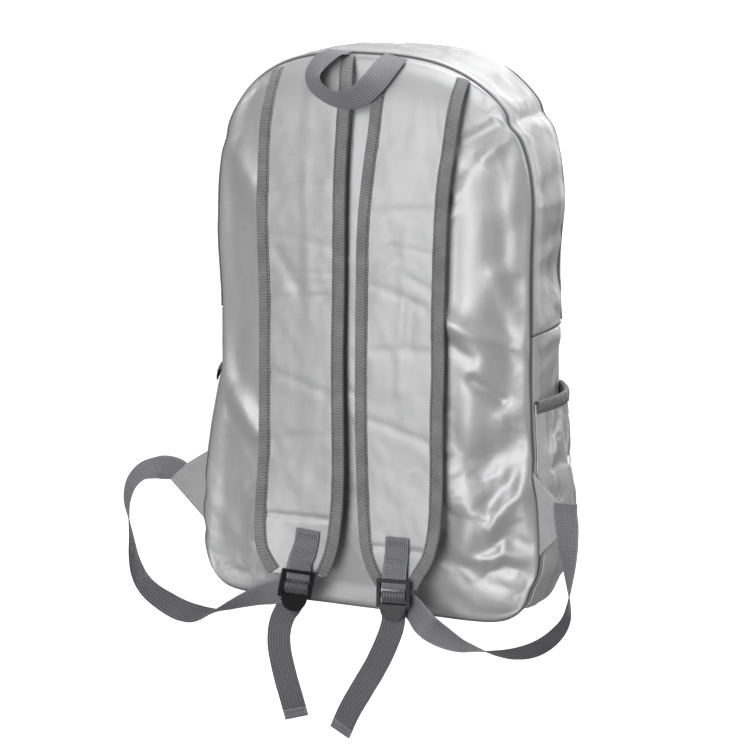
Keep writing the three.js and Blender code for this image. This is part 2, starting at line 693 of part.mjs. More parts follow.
const baseDown = 0.965; // where the side gusset meets the base, as a share of panelHeight
const sideGap = 0.002; // share of a side left open at each end of its gusset
const zipEnd = {
  left: halves.back.left.shareAtHeight(-zipEndDown),
  right: halves.back.right.shareAtHeight(-zipEndDown),
};
const baseEnd = {
  left: halves.back.left.shareAtHeight(-panelHeight * baseDown),
  right: halves.back.right.shareAtHeight(-panelHeight * baseDown),
};

// From the right-hand end of a stretch over the top to the left-hand one, or under the base likewise.
const overTop = (t) =>
  t < 0.5
    ? { side: 'right', down: lerp(zipEnd.right, 0, 2 * t) }
    : { side: 'left', down: lerp(0, zipEnd.left, 2 * t - 1) };
const underBase = (t) =>
  t < 0.5
    ? { side: 'right', down: lerp(baseEnd.right, 1, 2 * t) }
    : { side: 'left', down: lerp(1, baseEnd.left, 2 * t - 1) };
const downSide = (side) => (t) => ({
  side,
  down: lerp(zipEnd[side], baseEnd[side], lerp(sideGap, 1 - sideGap, t)),
});

function addGusset() {
  addPiece('top_gusset', gussetStrip(overTop, 0, zipFrom, ...topSteps), cloth);
  addPiece('top_gusset_front', gussetStrip(overTop, zipTo + zipSlit, 1, topSteps[0], 1), cloth);
  addPiece('side_gusset_left', gussetStrip(downSide('left'), 0, 1, ...sideSteps), cloth);
  addPiece('side_gusset_right', gussetStrip(downSide('right'), 0, 1, ...sideSteps), cloth);
  addPiece('base_gusset', gussetStrip(underBase, 0, 1, ...baseSteps), cloth);
}

// The zip's tape with its coil, and the slider with its pull at the left-hand end.
function addZip() {
  const middle = (zipFrom + zipTo) / 2;
  const steps = topSteps[0];
  const stations = [];
  for (let i = 0; i <= steps; i += 1) {
    const { side, down } = overTop(lerp(zipInset, 1 - zipInset, i / steps));
    const { place, out } = gussetPoint(side, down, middle, gussetWrinkle(down, middle));
    const rear = gussetPoint(side, down, zipFrom, gussetWrinkle(down, zipFrom)).place;
    const fore = gussetPoint(side, down, zipTo, gussetWrinkle(down, zipTo)).place;
    const across = fore.clone().sub(rear).normalize();
    stations.push({ place, across, normal: out.addScaledVector(across, -out.dot(across)).normalize() });
  }
  const half = ((zipTo - zipFrom) * bagDepth) / 2 - clearance - fabric * 0.2;
  const t = zipTape / 2;
  const c = coilWidth / 2;
  const profile = [
    [-half, -t],
    [half, -t],
    [half, 0],
    [c, t + coilHeight],
    [-c, t + coilHeight],
    [-half, 0],
  ];
  addPiece('zip', sweep(stations, () => profile), tape);

  const seat = stations[steps - 2];
  const along = seat.normal.clone().cross(seat.across).normalize();
  const frame = new THREE.Matrix4().makeBasis(seat.across, along, seat.normal);
  const lift = t + coilHeight + clearance * 2;
  const place = seat.place.clone().addScaledVector(seat.normal, lift + sliderHeight / 2);
  const body = new THREE.BoxGeometry(sliderWidth, sliderLength, sliderHeight);
  const slider = addPiece('zip_slider', body, plastic);
  slider.applyMatrix4(frame.clone().setPosition(place));
  const round = new THREE.Shape();
  round.absarc(0, 0, pullWidth / 2, 0, Math.PI, false);
  round.absarc(0, -pullLength, pullWidth / 2, Math.PI, Math.PI * 2, false);
  const tab = new THREE.ExtrudeGeometry(round, { depth: pullThick, bevelEnabled: false, curveSegments: 6 });
  const pull = addPiece('zip_pull', tab, plastic);
  const top = seat.place.clone().addScaledVector(seat.normal, lift + sliderHeight + clearance);
  pull.applyMatrix4(frame.clone().setPosition(top));
}

// A side pocket: a bulged panel over the lower part of the side, and the elastic round its mouth.
function pocketLift(side, down, deep, top, foot) {
  const t = THREE.MathUtils.clamp((down - top) / (foot - top), 0, 1);
  const swellDown = Math.pow(Math.sin(Math.PI * Math.min(0.15 + 0.8 * t, 1)), 0.7);
  const across = Math.sin(Math.PI * deep);
  const mouth = mouthGap * (1 - THREE.MathUtils.smoothstep(t, 0, 0.25));
  const fading = Math.max(1 - t / gatherReach, 0);
  const pleated = THREE.MathUtils.smoothstep(t, gatherStart, gatherStart * 2) * fading;
  const gather = gatherDepth * Math.sin(2 * Math.PI * gatherCount * deep) * pleated;
  return fabric + clearance * 2 + across * (Math.max(pocketBulge[side] * swellDown, mouth) + gather);
}

// Shares of a pocket's height, closer together at its mouth and at its lower corner.
const pocketRow = (t) => lerp(Math.pow(t, mouthPower), 1 - Math.pow(1 - t, mouthPower), t);

function addPocket(side) {
  const top = halves.back[side].shareAtHeight(-pocketTop);
  const foot = baseEnd[side] - 0.004;
  const grid = [];
  const [columns, rows] = pocketSteps;
  for (let i = 0; i <= rows; i += 1) {
    const down = lerp(top, foot, pocketRow(i / rows));
    const row = [];
    for (let j = 0; j <= columns; j += 1) {
      const share = j / columns;
      const deep = lerp(pocketEdge, 1 - pocketEdge, share);
      const lift = pocketLift(side, down, share, top, foot) + Math.max(gussetWrinkle(down, deep), 0);
      row.push(gussetPoint(side, down, deep, lift).place);
    }
    grid.push(row);
  }
  addPiece(`pocket_${side}`, sheet(grid, fabric), cloth);

  const stations = [];
  const steps = columns + 2;
  const low = grid[1];
  for (let j = 0; j <= steps; j += 1) {
    const share = (j / steps) * columns;
    const k = Math.min(Math.floor(share), columns - 1);
    const place = grid[0][k].clone().lerp(grid[0][k + 1], share - k);
    const below = low[k].clone().lerp(low[k + 1], share - k);
    stations.push({ place, across: below.sub(place).normalize() });
  }
  stations.forEach((station, j) => {
    const next = stations[Math.min(j + 1, steps)].place;
    const past = stations[Math.max(j - 1, 0)].place;
    const run = next.clone().sub(past).normalize();
    station.across.addScaledVector(run, -station.across.dot(run)).normalize();
    const normal = station.across.clone().cross(run).normalize();
    if (normal.x * (side === 'right' ? 1 : -1) < 0) normal.negate();
    station.normal = normal;
  });
  const inside = fabric / 2 + clearance * 2;
  const band = [
    [-elasticAbove, inside],
    [elasticHeight - elasticAbove, inside],
    [elasticHeight - elasticAbove, inside + elasticThick],
    [-elasticAbove, inside + elasticThick],
  ];
  addPiece(`pocket_elastic_${side}`, sweep(stations, () => band), elasticCloth);
}

// Middle surface of a shoulder strap at a share of its length and from -1 to 1 across it.
function padPoint(side, share, across) {
  const rows = strapRows[side];
  const middle = readRows(rows, 'down', 'middle', share) * panelHalfWidth;
  const half = readRows(rows, 'down', 'half', share) * panelHalfWidth;
  const off = readRows(rows, 'down', 'off', share) * backBulge;
  const heightAt = (x) => lerp(seamHeight(x) - seamGap - fabric, -padTipDown, share);
  const x = middle + across * half;
  const z = heightAt(x);
  const below = backY(x, z);
  const centre = backY(middle, heightAt(middle));
  const settle = THREE.MathUtils.smoothstep(share, 0, 0.03);
  const steep = steepStandOff * Math.sin(Math.PI * Math.min(share / steepReach, 1));
  const sewn = fabric / 2 + clearance * 2 + bindingThick + padTopThick / 2;
  const free = fabric / 2 + padStandOff + padThick / 2;
  const tilt = readRows(rows, 'down', 'tilt', share) * across * half;
  const y = Math.min(below, lerp(centre, below, 0.55)) - lerp(sewn, free, settle) - steep - off + tilt;
  return vec(x, y, z);
}

const padThickness = (share) => lerp(padTopThick, padThick, THREE.MathUtils.smoothstep(share, 0, 0.08));

function addStrap(side) {
  const [columns, rows] = strapSteps;
  const grid = [];
  const thick = [];
  const shareAt = (i) => 1 - Math.pow(1 - i / rows, tipPower);
  for (let i = 0; i <= rows; i += 1) {
    const row = [];
    for (let j = 0; j <= columns; j += 1) row.push(padPoint(side, shareAt(i), (2 * j) / columns - 1));
    grid.push(row);
    thick.push(padThickness(shareAt(i)));
  }
  addPiece(`strap_pad_${side}`, sheet(grid, thick), cloth);

  const wrap = bindingGap + bindingThick;
  const t = bindingThick;
  const profile = (share) => {
    const half = padThickness(shareAt(share * rows)) / 2 + wrap;
    return [
      [-wrap, -half],
      [bindingReach - wrap, -half],
      [bindingReach - wrap, -half + t],
      [-wrap + t, -half + t],
      [-wrap + t, half - t],
      [bindingReach - wrap, half - t],
      [bindingReach - wrap, half],
      [-wrap, half],
    ];
  };
  for (const [edge, across] of [
    ['outer', side === 'left' ? -1 : 1],
    ['inner', side === 'left' ? 1 : -1],
  ]) {
    const stations = [];
    const column = across < 0 ? 0 : columns;
    const beside = across < 0 ? 1 : columns - 1;
    for (let i = 0; i <= rows; i += 1) {
      const place = grid[i][column].clone();
      const run = grid[Math.min(i + 1, rows)][column].clone().sub(grid[Math.max(i - 1, 0)][column]).normalize();
      const inward = grid[i][beside].clone().sub(place);
      inward.addScaledVector(run, -inward.dot(run)).normalize();
      stations.push({ place, across: inward, normal: run.clone().cross(inward).normalize() });
    }
    addPiece(`strap_binding_${side}_${edge}`, sweep(stations, profile), tape);
  }
}

// The buckle's own frame: u across, v up the strap, w out towards the wearer.
function buckleFrame(side) {
  const row = buckleRows[side];
  const z = -row.down * panelHeight;
  const x = row.across * panelHalfWidth;
  const tip = padPoint(side, 1, 0);
  const turn = new THREE.Matrix4().makeRotationZ(radians(row.yaw));
  const lean = new THREE.Matrix4().makeRotationY(radians(row.lean));
  const facing = new THREE.Matrix4().makeBasis(vec(1, 0, 0), vec(0, 0, 1), vec(0, -1, 0));
  const axes = turn.multiply(lean).multiply(facing);
  const standOff = padThick / 2 + clearance * 3 + webbingThick * 2 + barBack + row.lift;
  return axes.setPosition(x, tip.y - standOff, z);
}

// Side view of a buckle's rail as [up, out] corners, and its bars as [low, high, back, front] boxes across it.
const barBack = 2.2;
const railCorners = [
  [13, 3.1],
  [13, 0.4],
  [10.5, -barBack],
  [-9, -barBack],
  [-10.6, 0.2],
  [-10.2, 2.6],
  [-2, 2.2],
  [10.4, 3.1],
];
const buckleBars = {
  lip: [10.4, 13, 1.7, 3.1],
  sewing: [5.9, 7.6, -barBack + 0.2, -0.5],
  ladder: [-1.9, 0.7, -barBack, 0.3],
  bottom: [-10.2, -7.6, -barBack + 0.4, 2.6],
};

function buckleBox([low, high, back, front], from, to) {
  const box = new THREE.BoxGeometry(to - from, high - low, front - back);
  return box.translate((from + to) / 2, (low + high) / 2, (back + front) / 2);
}

function addBuckle(side) {
  const rail = new THREE.Shape(railCorners.map(([up, out]) => new THREE.Vector2(up, out)));
  const pieces = [];
  for (const from of [-buckleHalf, buckleHalf - railThick]) {
    const solid = new THREE.ExtrudeGeometry(rail, { depth: railThick, bevelEnabled: false });
    const axes = new THREE.Matrix4().makeBasis(vec(0, 1, 0), vec(0, 0, 1), vec(1, 0, 0));
    pieces.push(solid.applyMatrix4(axes.setPosition(from, 0, 0)));
  }
  for (const bar of Object.values(buckleBars)) pieces.push(buckleBox(bar, -buckleHalf + 1, buckleHalf - 1));
  const tongue = new THREE.Shape();
  const root = buckleBars.bottom[1] - 0.6;
  tongue.moveTo(-buckleInside / 2, 0);
  const halfTongue = buckleInside / 2;
  const tip = -tongueLength - 2;
  tongue.bezierCurveTo(-halfTongue, -tongueLength, -tongueRound, tip, 0, tip);
  tongue.bezierCurveTo(tongueRound, tip, halfTongue, -tongueLength, halfTongue, 0);
  const flat = { depth: tongueThick, bevelEnabled: false, curveSegments: 7 };
  const plate = new THREE.ExtrudeGeometry(tongue, flat);
  pieces.push(plate.rotateX(radians(-tongueLean)).translate(0, root, tongueThick / 2));
  const buckle = addPiece(`buckle_${side}`, fused(pieces), plastic);
  buckle.applyMatrix4(buckleFrame(side));
}

// The place at the strap's outer face beside a point, and the direction across the strap there.
function padSeat(side, point, lift) {
  const rows = strapRows[side];
  const top = seamHeight(point.x) - seamGap - fabric;
  const share = THREE.MathUtils.clamp((top - point.z) / (top + padTipDown), 0, 1);
  const middle = readRows(rows, 'down', 'middle', share) * panelHalfWidth;
  const half = readRows(rows, 'down', 'half', share) * panelHalfWidth;
  const at = THREE.MathUtils.clamp((point.x - middle) / half, -0.5, 0.5);
  const across = padPoint(side, share, at + 0.4).sub(padPoint(side, share, at - 0.4)).normalize();
  const up = padPoint(side, share - 0.02, at).sub(padPoint(side, share, at)).normalize();
  return { place: padPoint(side, share, at).addScaledVector(up.cross(across).normalize(), -lift), across };
}

// The short webbing that is sewn on the strap and holds the buckle: down the front, round the sewing bar, back.
function addAnchor(side) {
  const [low, high, back, front] = buckleBars.sewing;
  const off = webbingThick / 2 + clearance + 0.2;
  const under = (low + high) / 2;
  const radius = (high - low) / 2 + off + 0.3;
  const fore = front + off;
  const rear = back - off;
  const path = [
    { v: anchorReach, seat: 1 },
    { v: anchorReach * 0.75, seat: 1 },
    { v: anchorReach * 0.56, w: rear + webbingThick + clearance * 2, seat: 0.6 },
    { v: 20.5, w: rear + webbingThick + clearance * 2 },
    { v: 15.5, w: fore - 1.2 },
    { v: 12, w: fore },
    { v: 8, w: fore },
    { v: under, w: fore },
  ];
  const bend = 6;
  const centre = (fore + rear) / 2;
  for (let i = 1; i < bend; i += 1) {
    const angle = (Math.PI * i) / bend;
    path.push({
      v: under - radius * Math.sin(angle),
      w: centre + ((fore - rear) / 2) * Math.cos(angle),
    });
  }
  path.push({ v: under, w: rear }, { v: 9, w: rear }, { v: 14, w: rear - 0.3 }, { v: 18.5, w: rear - 0.8 });
  const frame = buckleFrame(side);
  const across = vec(1, 0, 0).transformDirection(frame);
  const stations = path.map(({ v, w = 0, seat = 0 }) => {
    const place = vec(0, v, w).applyMatrix4(frame);
    const onPad = padSeat(side, place, padThick / 2 + clearance * 3 + bindingThick + webbingThick / 2);
    const turned = across.clone().lerp(onPad.across, seat).normalize();
    return { place: place.lerp(onPad.place, seat), across: turned };
  });
  stations.forEach((station, i) => {
    const next = stations[Math.min(i + 1, stations.length - 1)].place;
    const past = stations[Math.max(i - 1, 0)].place;
    const run = next.clone().sub(past).normalize();
    station.across.addScaledVector(run, -station.across.dot(run)).normalize();
    station.normal = station.across.clone().cross(run).normalize();
  });
  const geometry = sweep(stations, () => rectangle(webbingWidth, webbingThick));
  addPiece(`buckle_anchor_${side}`, geometry, webbingCloth);
}

// The tab of doubled cloth in the side seam that the adjusting webbing is sewn to: shares of panelHeight
// down and of panelHalfWidth across.
const tabRows = {
  left: { top: 0.742, foot: 0.87, tipTop: [-1.155, 0.773], tipFoot: [-1.262, 0.805] },
  right: { top: 0.715, foot: 0.866, tipTop: [1.235, 0.765], tipFoot: [1.255, 0.826] },
};
const tabLevel = -0.1;

function tabCorners(side) {
  const row = tabRows[side];
  const sign = side === 'right' ? 1 : -1;
  const seam = (share) => {
    const down = lerp(row.top, row.foot, share) * panelHeight;
    const at = halves.back[side].at(halves.back[side].shareAtHeight(-down));
    return vec(at.x + sign * (fabric / 2 + clearance * 2), tabLevel, at.z);
  };
  const tip = ([across, down]) => vec(across * panelHalfWidth, tabLevel, -down * panelHeight);
  return { seam, tipTop: tip(row.tipTop), tipFoot: tip(row.tipFoot) };
}

function addTab(side) {
  const steps = 5;
  const { seam, tipTop, tipFoot } = tabCorners(side);
  const grid = [];
  for (let i = 0; i <= 3; i += 1) {
    const row = [];
    for (let j = 0; j <= steps; j += 1) {
      const tip = tipTop.clone().lerp(tipFoot, j / steps);
      row.push(seam(j / steps).lerp(tip, i / 3));
    }
    grid.push(row);
  }
  addPiece(`strap_tab_${side}`, sheet(grid, tabThick), cloth);
}

// The adjusting webbing: from its tab round the open loop, up behind the buckle, over the ladder bar and
// down behind the bottom bar to its folded end.
function addWebbing(side) {
  const frame = buckleFrame(side);
  const { tipTop, tipFoot } = tabCorners(side);
  const over = tabThick / 2 + clearance + webbingThick / 2;
  const places = [];
  const put = (place, turn, across) => places.push({ place, turn, across });
  if (side === 'right') {
    const start = tipTop.clone().add(vec(webbingWidth * 0.3, -over, 0));
    put(start, 0);
    put(start.clone().add(vec(0.5, -0.3, -8)), 0);
  } else {
    const middle = tipTop.clone().lerp(tipFoot, 0.5);
    put(middle.clone().add(vec(7, over + clearance, -5)), 0);
    put(middle.clone().add(vec(0, over + clearance, 0)), 0);
    put(middle.clone().add(vec(-6, over + clearance, 1.5)), 0);
  }
  for (const row of loopRows[side]) {
    put(vec(row.across * panelHalfWidth, -row.out * strapOut, -row.down * panelHeight), row.turn);
  }
  const size = webbingWidth;
  for (const row of leadRows[side]) {
    put(vec(row.across * size, row.up * size, row.out * size).applyMatrix4(frame), 0);
  }
  const [ladderLow, ladderHigh, ladderBack, ladderFront] = buckleBars.ladder;
  const off = webbingThick / 2 + clearance;
  const under = buckleBars.bottom[2] - off - 0.2;
  const width = vec(-1, 0, 0).transformDirection(frame);
  const up = [
    { v: ladderLow + 0.2, w: ladderBack - off - 1.1 },
    { v: ladderHigh + off * 0.7, w: ladderBack - off * 0.7 },
    { v: ladderHigh + off + 0.4, w: (ladderBack + ladderFront) / 2 },
    { v: ladderHigh + off * 0.6, w: ladderFront + off * 0.8 },
    { v: (ladderLow + ladderHigh) / 2, w: ladderFront + off + 0.6 },
    { v: ladderLow - off * 0.9, w: ladderFront + off * 0.8 },
    { v: ladderLow - off - 1.4, w: -0.6 },
    { v: ladderLow - off - 2.8, w: -1.9 },
    { v: buckleBars.bottom[1], w: under },
    { v: buckleBars.bottom[0] - 0.8, w: under },
    { v: buckleBars.bottom[0] - 4.8, w: under - 0.1 },
  ];
  for (const { v, w } of up) put(vec(0, v, w).applyMatrix4(frame), 0, width.clone());
  const foot = places[places.length - 1].place.clone();
  for (const row of tailRows[side]) {
    put(foot.clone().add(vec(row.side * tailLength, -row.out * tailLength, -row.down * tailLength)), row.turn);
  }
  places.forEach((station, i) => {
    if (station.across) return;
    const next = places[Math.min(i + 1, places.length - 1)].place;
    const past = places[Math.max(i - 1, 0)].place;
    const run = next.clone().sub(past);
    station.across = turnedAcross(run.normalize(), station.turn);
  });
  const stations = strapStations(places, webbingSteps);
  const run = stations.reduce((sum, s, i) => sum + (i ? s.place.distanceTo(stations[i - 1].place) : 0), 0);
  const hemShare = 1 - hemLength / run;
  const section = (share) => rectangle(webbingWidth, share > hemShare ? hemThick : webbingThick);
  addPiece(`webbing_${side}`, sweep(stations, section), webbingCloth);
}

function addCarryLoop() {
  const places = carryRows.map((row) => ({
    place: vec(row.across * loopSpread, -row.out * loopOut, -row.down * loopHang),
    across: vec(row.widthX, row.widthY, row.widthZ).normalize(),
  }));
  const geometry = sweep(strapStations(places, carrySteps), () => rectangle(webbingWidth, webbingThick));
  addPiece('carry_loop', geometry, webbingCloth);
}

addPanels();
addGusset();
addZip();
addCarryLoop();
for (const side of ['left', 'right']) {
  addPocket(side);
  addStrap(side);
  addBuckle(side);
  addAnchor(side);
  addTab(side);
  addWebbing(side);
}

export default backpack;
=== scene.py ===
import math

import bmesh
import bpy
import numpy as np
from mathutils import Matrix, Vector, noise


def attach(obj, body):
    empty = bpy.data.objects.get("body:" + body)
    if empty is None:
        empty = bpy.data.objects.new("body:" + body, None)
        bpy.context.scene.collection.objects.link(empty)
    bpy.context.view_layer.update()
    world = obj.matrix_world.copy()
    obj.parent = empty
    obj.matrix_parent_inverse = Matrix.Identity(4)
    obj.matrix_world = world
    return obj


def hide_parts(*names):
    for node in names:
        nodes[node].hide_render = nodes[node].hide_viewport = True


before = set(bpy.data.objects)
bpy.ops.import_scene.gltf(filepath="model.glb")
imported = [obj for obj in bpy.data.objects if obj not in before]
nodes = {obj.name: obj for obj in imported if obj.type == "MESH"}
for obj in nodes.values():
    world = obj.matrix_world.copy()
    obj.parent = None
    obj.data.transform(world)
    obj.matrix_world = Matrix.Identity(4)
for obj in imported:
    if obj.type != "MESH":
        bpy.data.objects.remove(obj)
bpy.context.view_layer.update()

mm = 0.001

# camera: the angle of the photo, 0.8 mm for each pixel at the top seam
cameraValues = {
    "azimuth": 20.0, "elevation": 9.5, "roll": 2.5, "distance": 2500.0,
    "lens": 150.0, "sensor": 36.0, "originPixel": (381.0, 54.0), "imageSize": 750,
}


def aimCamera(v):
    az, el, roll = (math.radians(v[k]) for k in ("azimuth", "elevation", "roll"))
    back = Vector((math.sin(az) * math.cos(el), -math.cos(az) * math.cos(el), math.sin(el)))
    ahead = -back
    right = ahead.cross(Vector((0, 0, 1))).normalized()
    up = right.cross(ahead)
    tiltedRight = right * math.cos(roll) + up * math.sin(roll)
    tiltedUp = up * math.cos(roll) - right * math.sin(roll)
    focal = v["lens"] / v["sensor"] * v["imageSize"]
    half = v["imageSize"] / 2
    dx, dy = v["originPixel"][0] - half, v["originPixel"][1] - half
    place = -(tiltedRight * (dx * v["distance"] / focal) - tiltedUp * (dy * v["distance"] / focal)
              + ahead * v["distance"])
    data = bpy.data.cameras.new("camera")
    data.lens, data.sensor_width, data.sensor_fit = v["lens"], v["sensor"], "HORIZONTAL"
    data.clip_end = 50
    camera = bpy.data.objects.new("camera", data)
    bpy.context.scene.collection.objects.link(camera)
    m = Matrix((tiltedRight, tiltedUp, back)).transposed().to_4x4()
    m.translation = place * mm
    camera.matrix_world = m
    bpy.context.scene.camera = camera


aimCamera(cameraValues)
print("stage: camera")

# sizes of the bag in millimetres, as in the solids
bag = {
    "height": 454.0, "halfWidth": 136.0, "arch": 130.0, "archPowers": {"left": 2.85, "right": 2.4},
    "frontPower": 2.75, "corner": 12.0, "depth": 92.0, "frontShare": 0.96, "frontDrop": 2.0, "frontLift": 6.0,
    "backBulge": 27.0, "frontBulge": 30.0, "gussetBulge": {"left": 6.0, "right": 7.5}, "baseBulge": 2.0,
    "shoulderBulge": 4.0, "squareFrom": 0.44, "cloth": 1.2, "seamGap": 0.7, "clear": 0.3,
    "zipDown": 214.0, "zipFrom": 0.68, "zipTo": 0.84, "baseDown": 0.965,
    "domeRound": 2.2, "domeFull": 0.8, "foldReach": 3.0, "creaseGain": 1.4,
}
sideRows = {
    "down": [0, 0.33, 0.46, 0.58, 0.7, 0.8, 0.9, 1.0],
    "left": [1.0, 1.0, 0.96, 0.95, 1.0, 1.03, 1.03, 0.99],
    "right": [0.98, 0.99, 1.01, 1.03, 1.07, 1.12, 1.14, 1.07],
}


def smoothRead(keys, values, at):
    k, c, at = np.array(keys, float), np.array(values, float), np.asarray(at, float)
    last = len(k) - 1
    i = np.clip(np.searchsorted(k, at, side="left") - 1, 0, last - 1)
    span = k[i + 1] - k[i]
    s = np.clip((at - k[i]) / span, 0, 1)
    b, a = np.maximum(i - 1, 0), np.minimum(i + 2, last)
    m0 = (c[i + 1] - c[b]) / np.maximum(k[i + 1] - k[b], 1e-6) * span
    m1 = (c[a] - c[i]) / np.maximum(k[a] - k[i], 1e-6) * span
    s2, s3 = s * s, s * s * s
    return (2 * s3 - 3 * s2 + 1) * c[i] + (s3 - 2 * s2 + s) * m0 + (3 * s2 - 2 * s3) * c[i + 1] + (s3 - s2) * m1


def smoothStep(x, low, high):
    t = np.clip((x - low) / (high - low), 0, 1)
    return t * t * (3 - 2 * t)


def unit(a):
    return a / np.maximum(np.linalg.norm(a, axis=-1, keepdims=True), 1e-9)


def runLength(points):
    return np.concatenate([[0], np.cumsum(np.linalg.norm(np.diff(points, axis=0), axis=1))])


backCut = {"top": 0.0, "bottom": -bag["height"], "share": 1.0, "powers": bag["archPowers"]}
frontCut = {"top": -bag["frontDrop"], "bottom": -bag["height"] + bag["frontLift"], "share": bag["frontShare"],
            "powers": {"left": bag["frontPower"], "right": bag["frontPower"]}}


def sideWidth(cut, side, z):
    down = (cut["top"] - z) / (cut["top"] - cut["bottom"])
    return smoothRead(sideRows["down"], sideRows[side], down) * bag["halfWidth"] * cut["share"]


# small nicks where the seam is drawn in: height, width and depth in millimetres
seamNicks = {
    "left": [(-77, 8, 2.6), (-268, 14, 2.0), (-372, 8, 1.8), (-404, 7, 2.4)],
    "right": [(-50, 6, 3.2), (-330, 10, 1.4), (-421, 8, 1.8)],
}


def halfOutline(cut, side):
    # from the middle of the top down one side to the middle of the bottom, with shares of its length
    sign, power, corner = (1 if side == "right" else -1), cut["powers"][side], bag["corner"]
    foot = cut["top"] - bag["arch"]
    square = cut["top"] - (cut["top"] - cut["bottom"]) * bag["squareFrom"]
    half = 0.5 ** (1 / corner)
    t = np.linspace(0, 1, 121)
    angle = math.pi / 2 * (1 - t)
    parts = [
        (np.cos(angle).clip(0) ** (2 / power), foot + bag["arch"] * np.sin(angle) ** (2 / power)),
        (np.ones(119), foot + (square - foot) * t[1:-1]),
        ((1 - (half * t) ** corner) ** (1 / corner), square + (cut["bottom"] - square) * half * t),
    ]
    near = half * t[::-1][1:]
    parts.append((near, square + (cut["bottom"] - square) * (1 - near ** corner) ** (1 / corner)))
    share = np.concatenate([p[0] for p in parts])
    z = np.concatenate([p[1] for p in parts])
    x = sign * share * sideWidth(cut, side, z)
    for height, width, depth in seamNicks[side]:
        x = x - sign * depth * np.exp(-((z - height) / width) ** 2) * (share > 0.5)
    run = np.concatenate([[0], np.cumsum(np.hypot(np.diff(x), np.diff(z)))])
    return {"x": x, "z": z, "share": run / run[-1], "length": run[-1]}


def along(line, share):
    share = np.clip(share, 0, 1)
    return np.interp(share, line["share"], line["x"]), np.interp(share, line["share"], line["z"])


def shareAtHeight(line, z):
    return line["share"][np.argmax(line["z"] <= z)]


halves = {name: {side: halfOutline(cut, side) for side in ("left", "right")}
          for name, cut in (("back", backCut), ("front", frontCut))}


def swell(cut, x, z):
    left = x < 0
    width = np.where(left, sideWidth(cut, "left", z), sideWidth(cut, "right", z))
    power = np.where(left, cut["powers"]["left"], cut["powers"]["right"])
    across = np.minimum(np.abs(x) / width, 1)
    height = cut["top"] - cut["bottom"]
    arch = np.clip((z - cut["top"] + bag["arch"]) / bag["arch"], 0, 1)
    square = cut["top"] - height * bag["squareFrom"]
    corner = np.clip((square - z) / (square - cut["bottom"]), 0, 1)
    dome = lambda r: np.maximum(1 - r ** bag["domeRound"], 0) ** bag["domeFull"]
    return dome(np.minimum((across ** power + arch ** power) ** (1 / power), 1)) * dome(corner)


def lineFolds(folds, x, z, acrossUnit, downUnit):
    # each fold: x1, z1, x2, z2 as shares, then its width and its height; folds fade at their ends
    total = np.zeros_like(x)
    for x1, z1, x2, z2, width, height in folds:
        ax, az = x1 * acrossUnit, -z1 * downUnit
        dx, dz = x2 * acrossUnit - ax, -z2 * downUnit - az
        t = np.clip(((x - ax) * dx + (z - az) * dz) / (dx * dx + dz * dz), 0, 1)
        r = np.hypot(x - ax - dx * t, z - az - dz * t) / width
        total += height * np.exp(-r * r)
    return total


# Soft folds that the solids have too: widths in shares of the half-width, heights in shares of the bulge
backFolds = [
    (0.62, 0.2, 0.98, 0.13, 0.14, 0.12), (0.7, 0.27, 0.72, 0.62, 0.2, 0.12),
    (0.92, 0.3, 0.95, 0.55, 0.12, -0.16),
    (0.62, 0.47, 1.0, 0.6, 0.12, 0.16), (0.66, 0.86, 1.04, 0.72, 0.15, 0.2),
    (0.78, 0.72, 1.0, 0.67, 0.11, -0.2),
    (0.72, 0.93, 1.04, 0.9, 0.1, -0.18), (-0.98, 0.58, -0.7, 0.7, 0.1, 0.14),
    (-0.98, 0.14, -0.72, 0.27, 0.12, 0.14),
]
frontFolds = [
    (-0.7, 0.22, 0.1, 0.3, 0.22, 0.12), (0.2, 0.5, 0.8, 0.38, 0.22, -0.12),
    (-0.8, 0.72, -0.1, 0.62, 0.2, -0.12), (0.1, 0.85, 0.8, 0.78, 0.2, 0.12),
]
# Finer creases of the back panel, widths and heights in millimetres
backCreases = [
    (0.86, 0.125, 0.70, 0.165, 6, 1.6), (0.80, 0.10, 0.55, 0.145, 6, -1.6), (0.62, 0.165, 0.52, 0.24, 9, -1.2),
    (0.90, 0.17, 0.91, 0.36, 8, 2.8), (0.82, 0.37, 1.0, 0.50, 8, 2.0), (0.97, 0.20, 0.99, 0.45, 6, -1.6),
    (0.52, 0.455, 1.0, 0.50, 7, 2.2), (0.53, 0.20, 0.56, 0.42, 9, -1.5), (0.55, 0.49, 0.70, 0.52, 6, -1.6),
    (0.72, 0.56, 0.88, 0.592, 6, -2.2), (0.88, 0.592, 1.0, 0.585, 7, -1.0),
    (0.90, 0.625, 0.91, 0.72, 9, 1.1), (0.90, 0.63, 1.04, 0.648, 2.2, 0.5),
    (0.90, 0.643, 1.04, 0.661, 2.2, 0.5),
    (0.90, 0.656, 1.04, 0.674, 2.2, 0.4), (0.84, 0.775, 1.02, 0.71, 9, -3.2), (1.02, 0.70, 1.07, 0.83, 6, 2.4),
    (0.86, 0.825, 1.04, 0.745, 7, 2.2), (0.80, 0.885, 0.92, 0.872, 5, 1.4),
    (0.84, 0.90, 0.96, 0.895, 4.5, -1.8),
    (0.94, 0.885, 1.09, 0.905, 5.5, -2.4), (0.94, 0.86, 1.09, 0.875, 6, 1.6), (0.60, 0.93, 0.95, 0.95, 9, 1.2),
    (0.52, 0.62, 0.60, 0.88, 13, -1.6), (0.70, 0.55, 0.72, 0.88, 12, 1.6),
    (-0.92, 0.60, -0.66, 0.685, 9, 1.8), (-0.94, 0.635, -0.70, 0.72, 8, -1.4),
    (-0.95, 0.18, -0.77, 0.235, 8, 1.1),
    (-0.98, 0.45, -0.82, 0.60, 10, -0.9), (-0.95, 0.85, -0.70, 0.92, 9, 0.9),
]


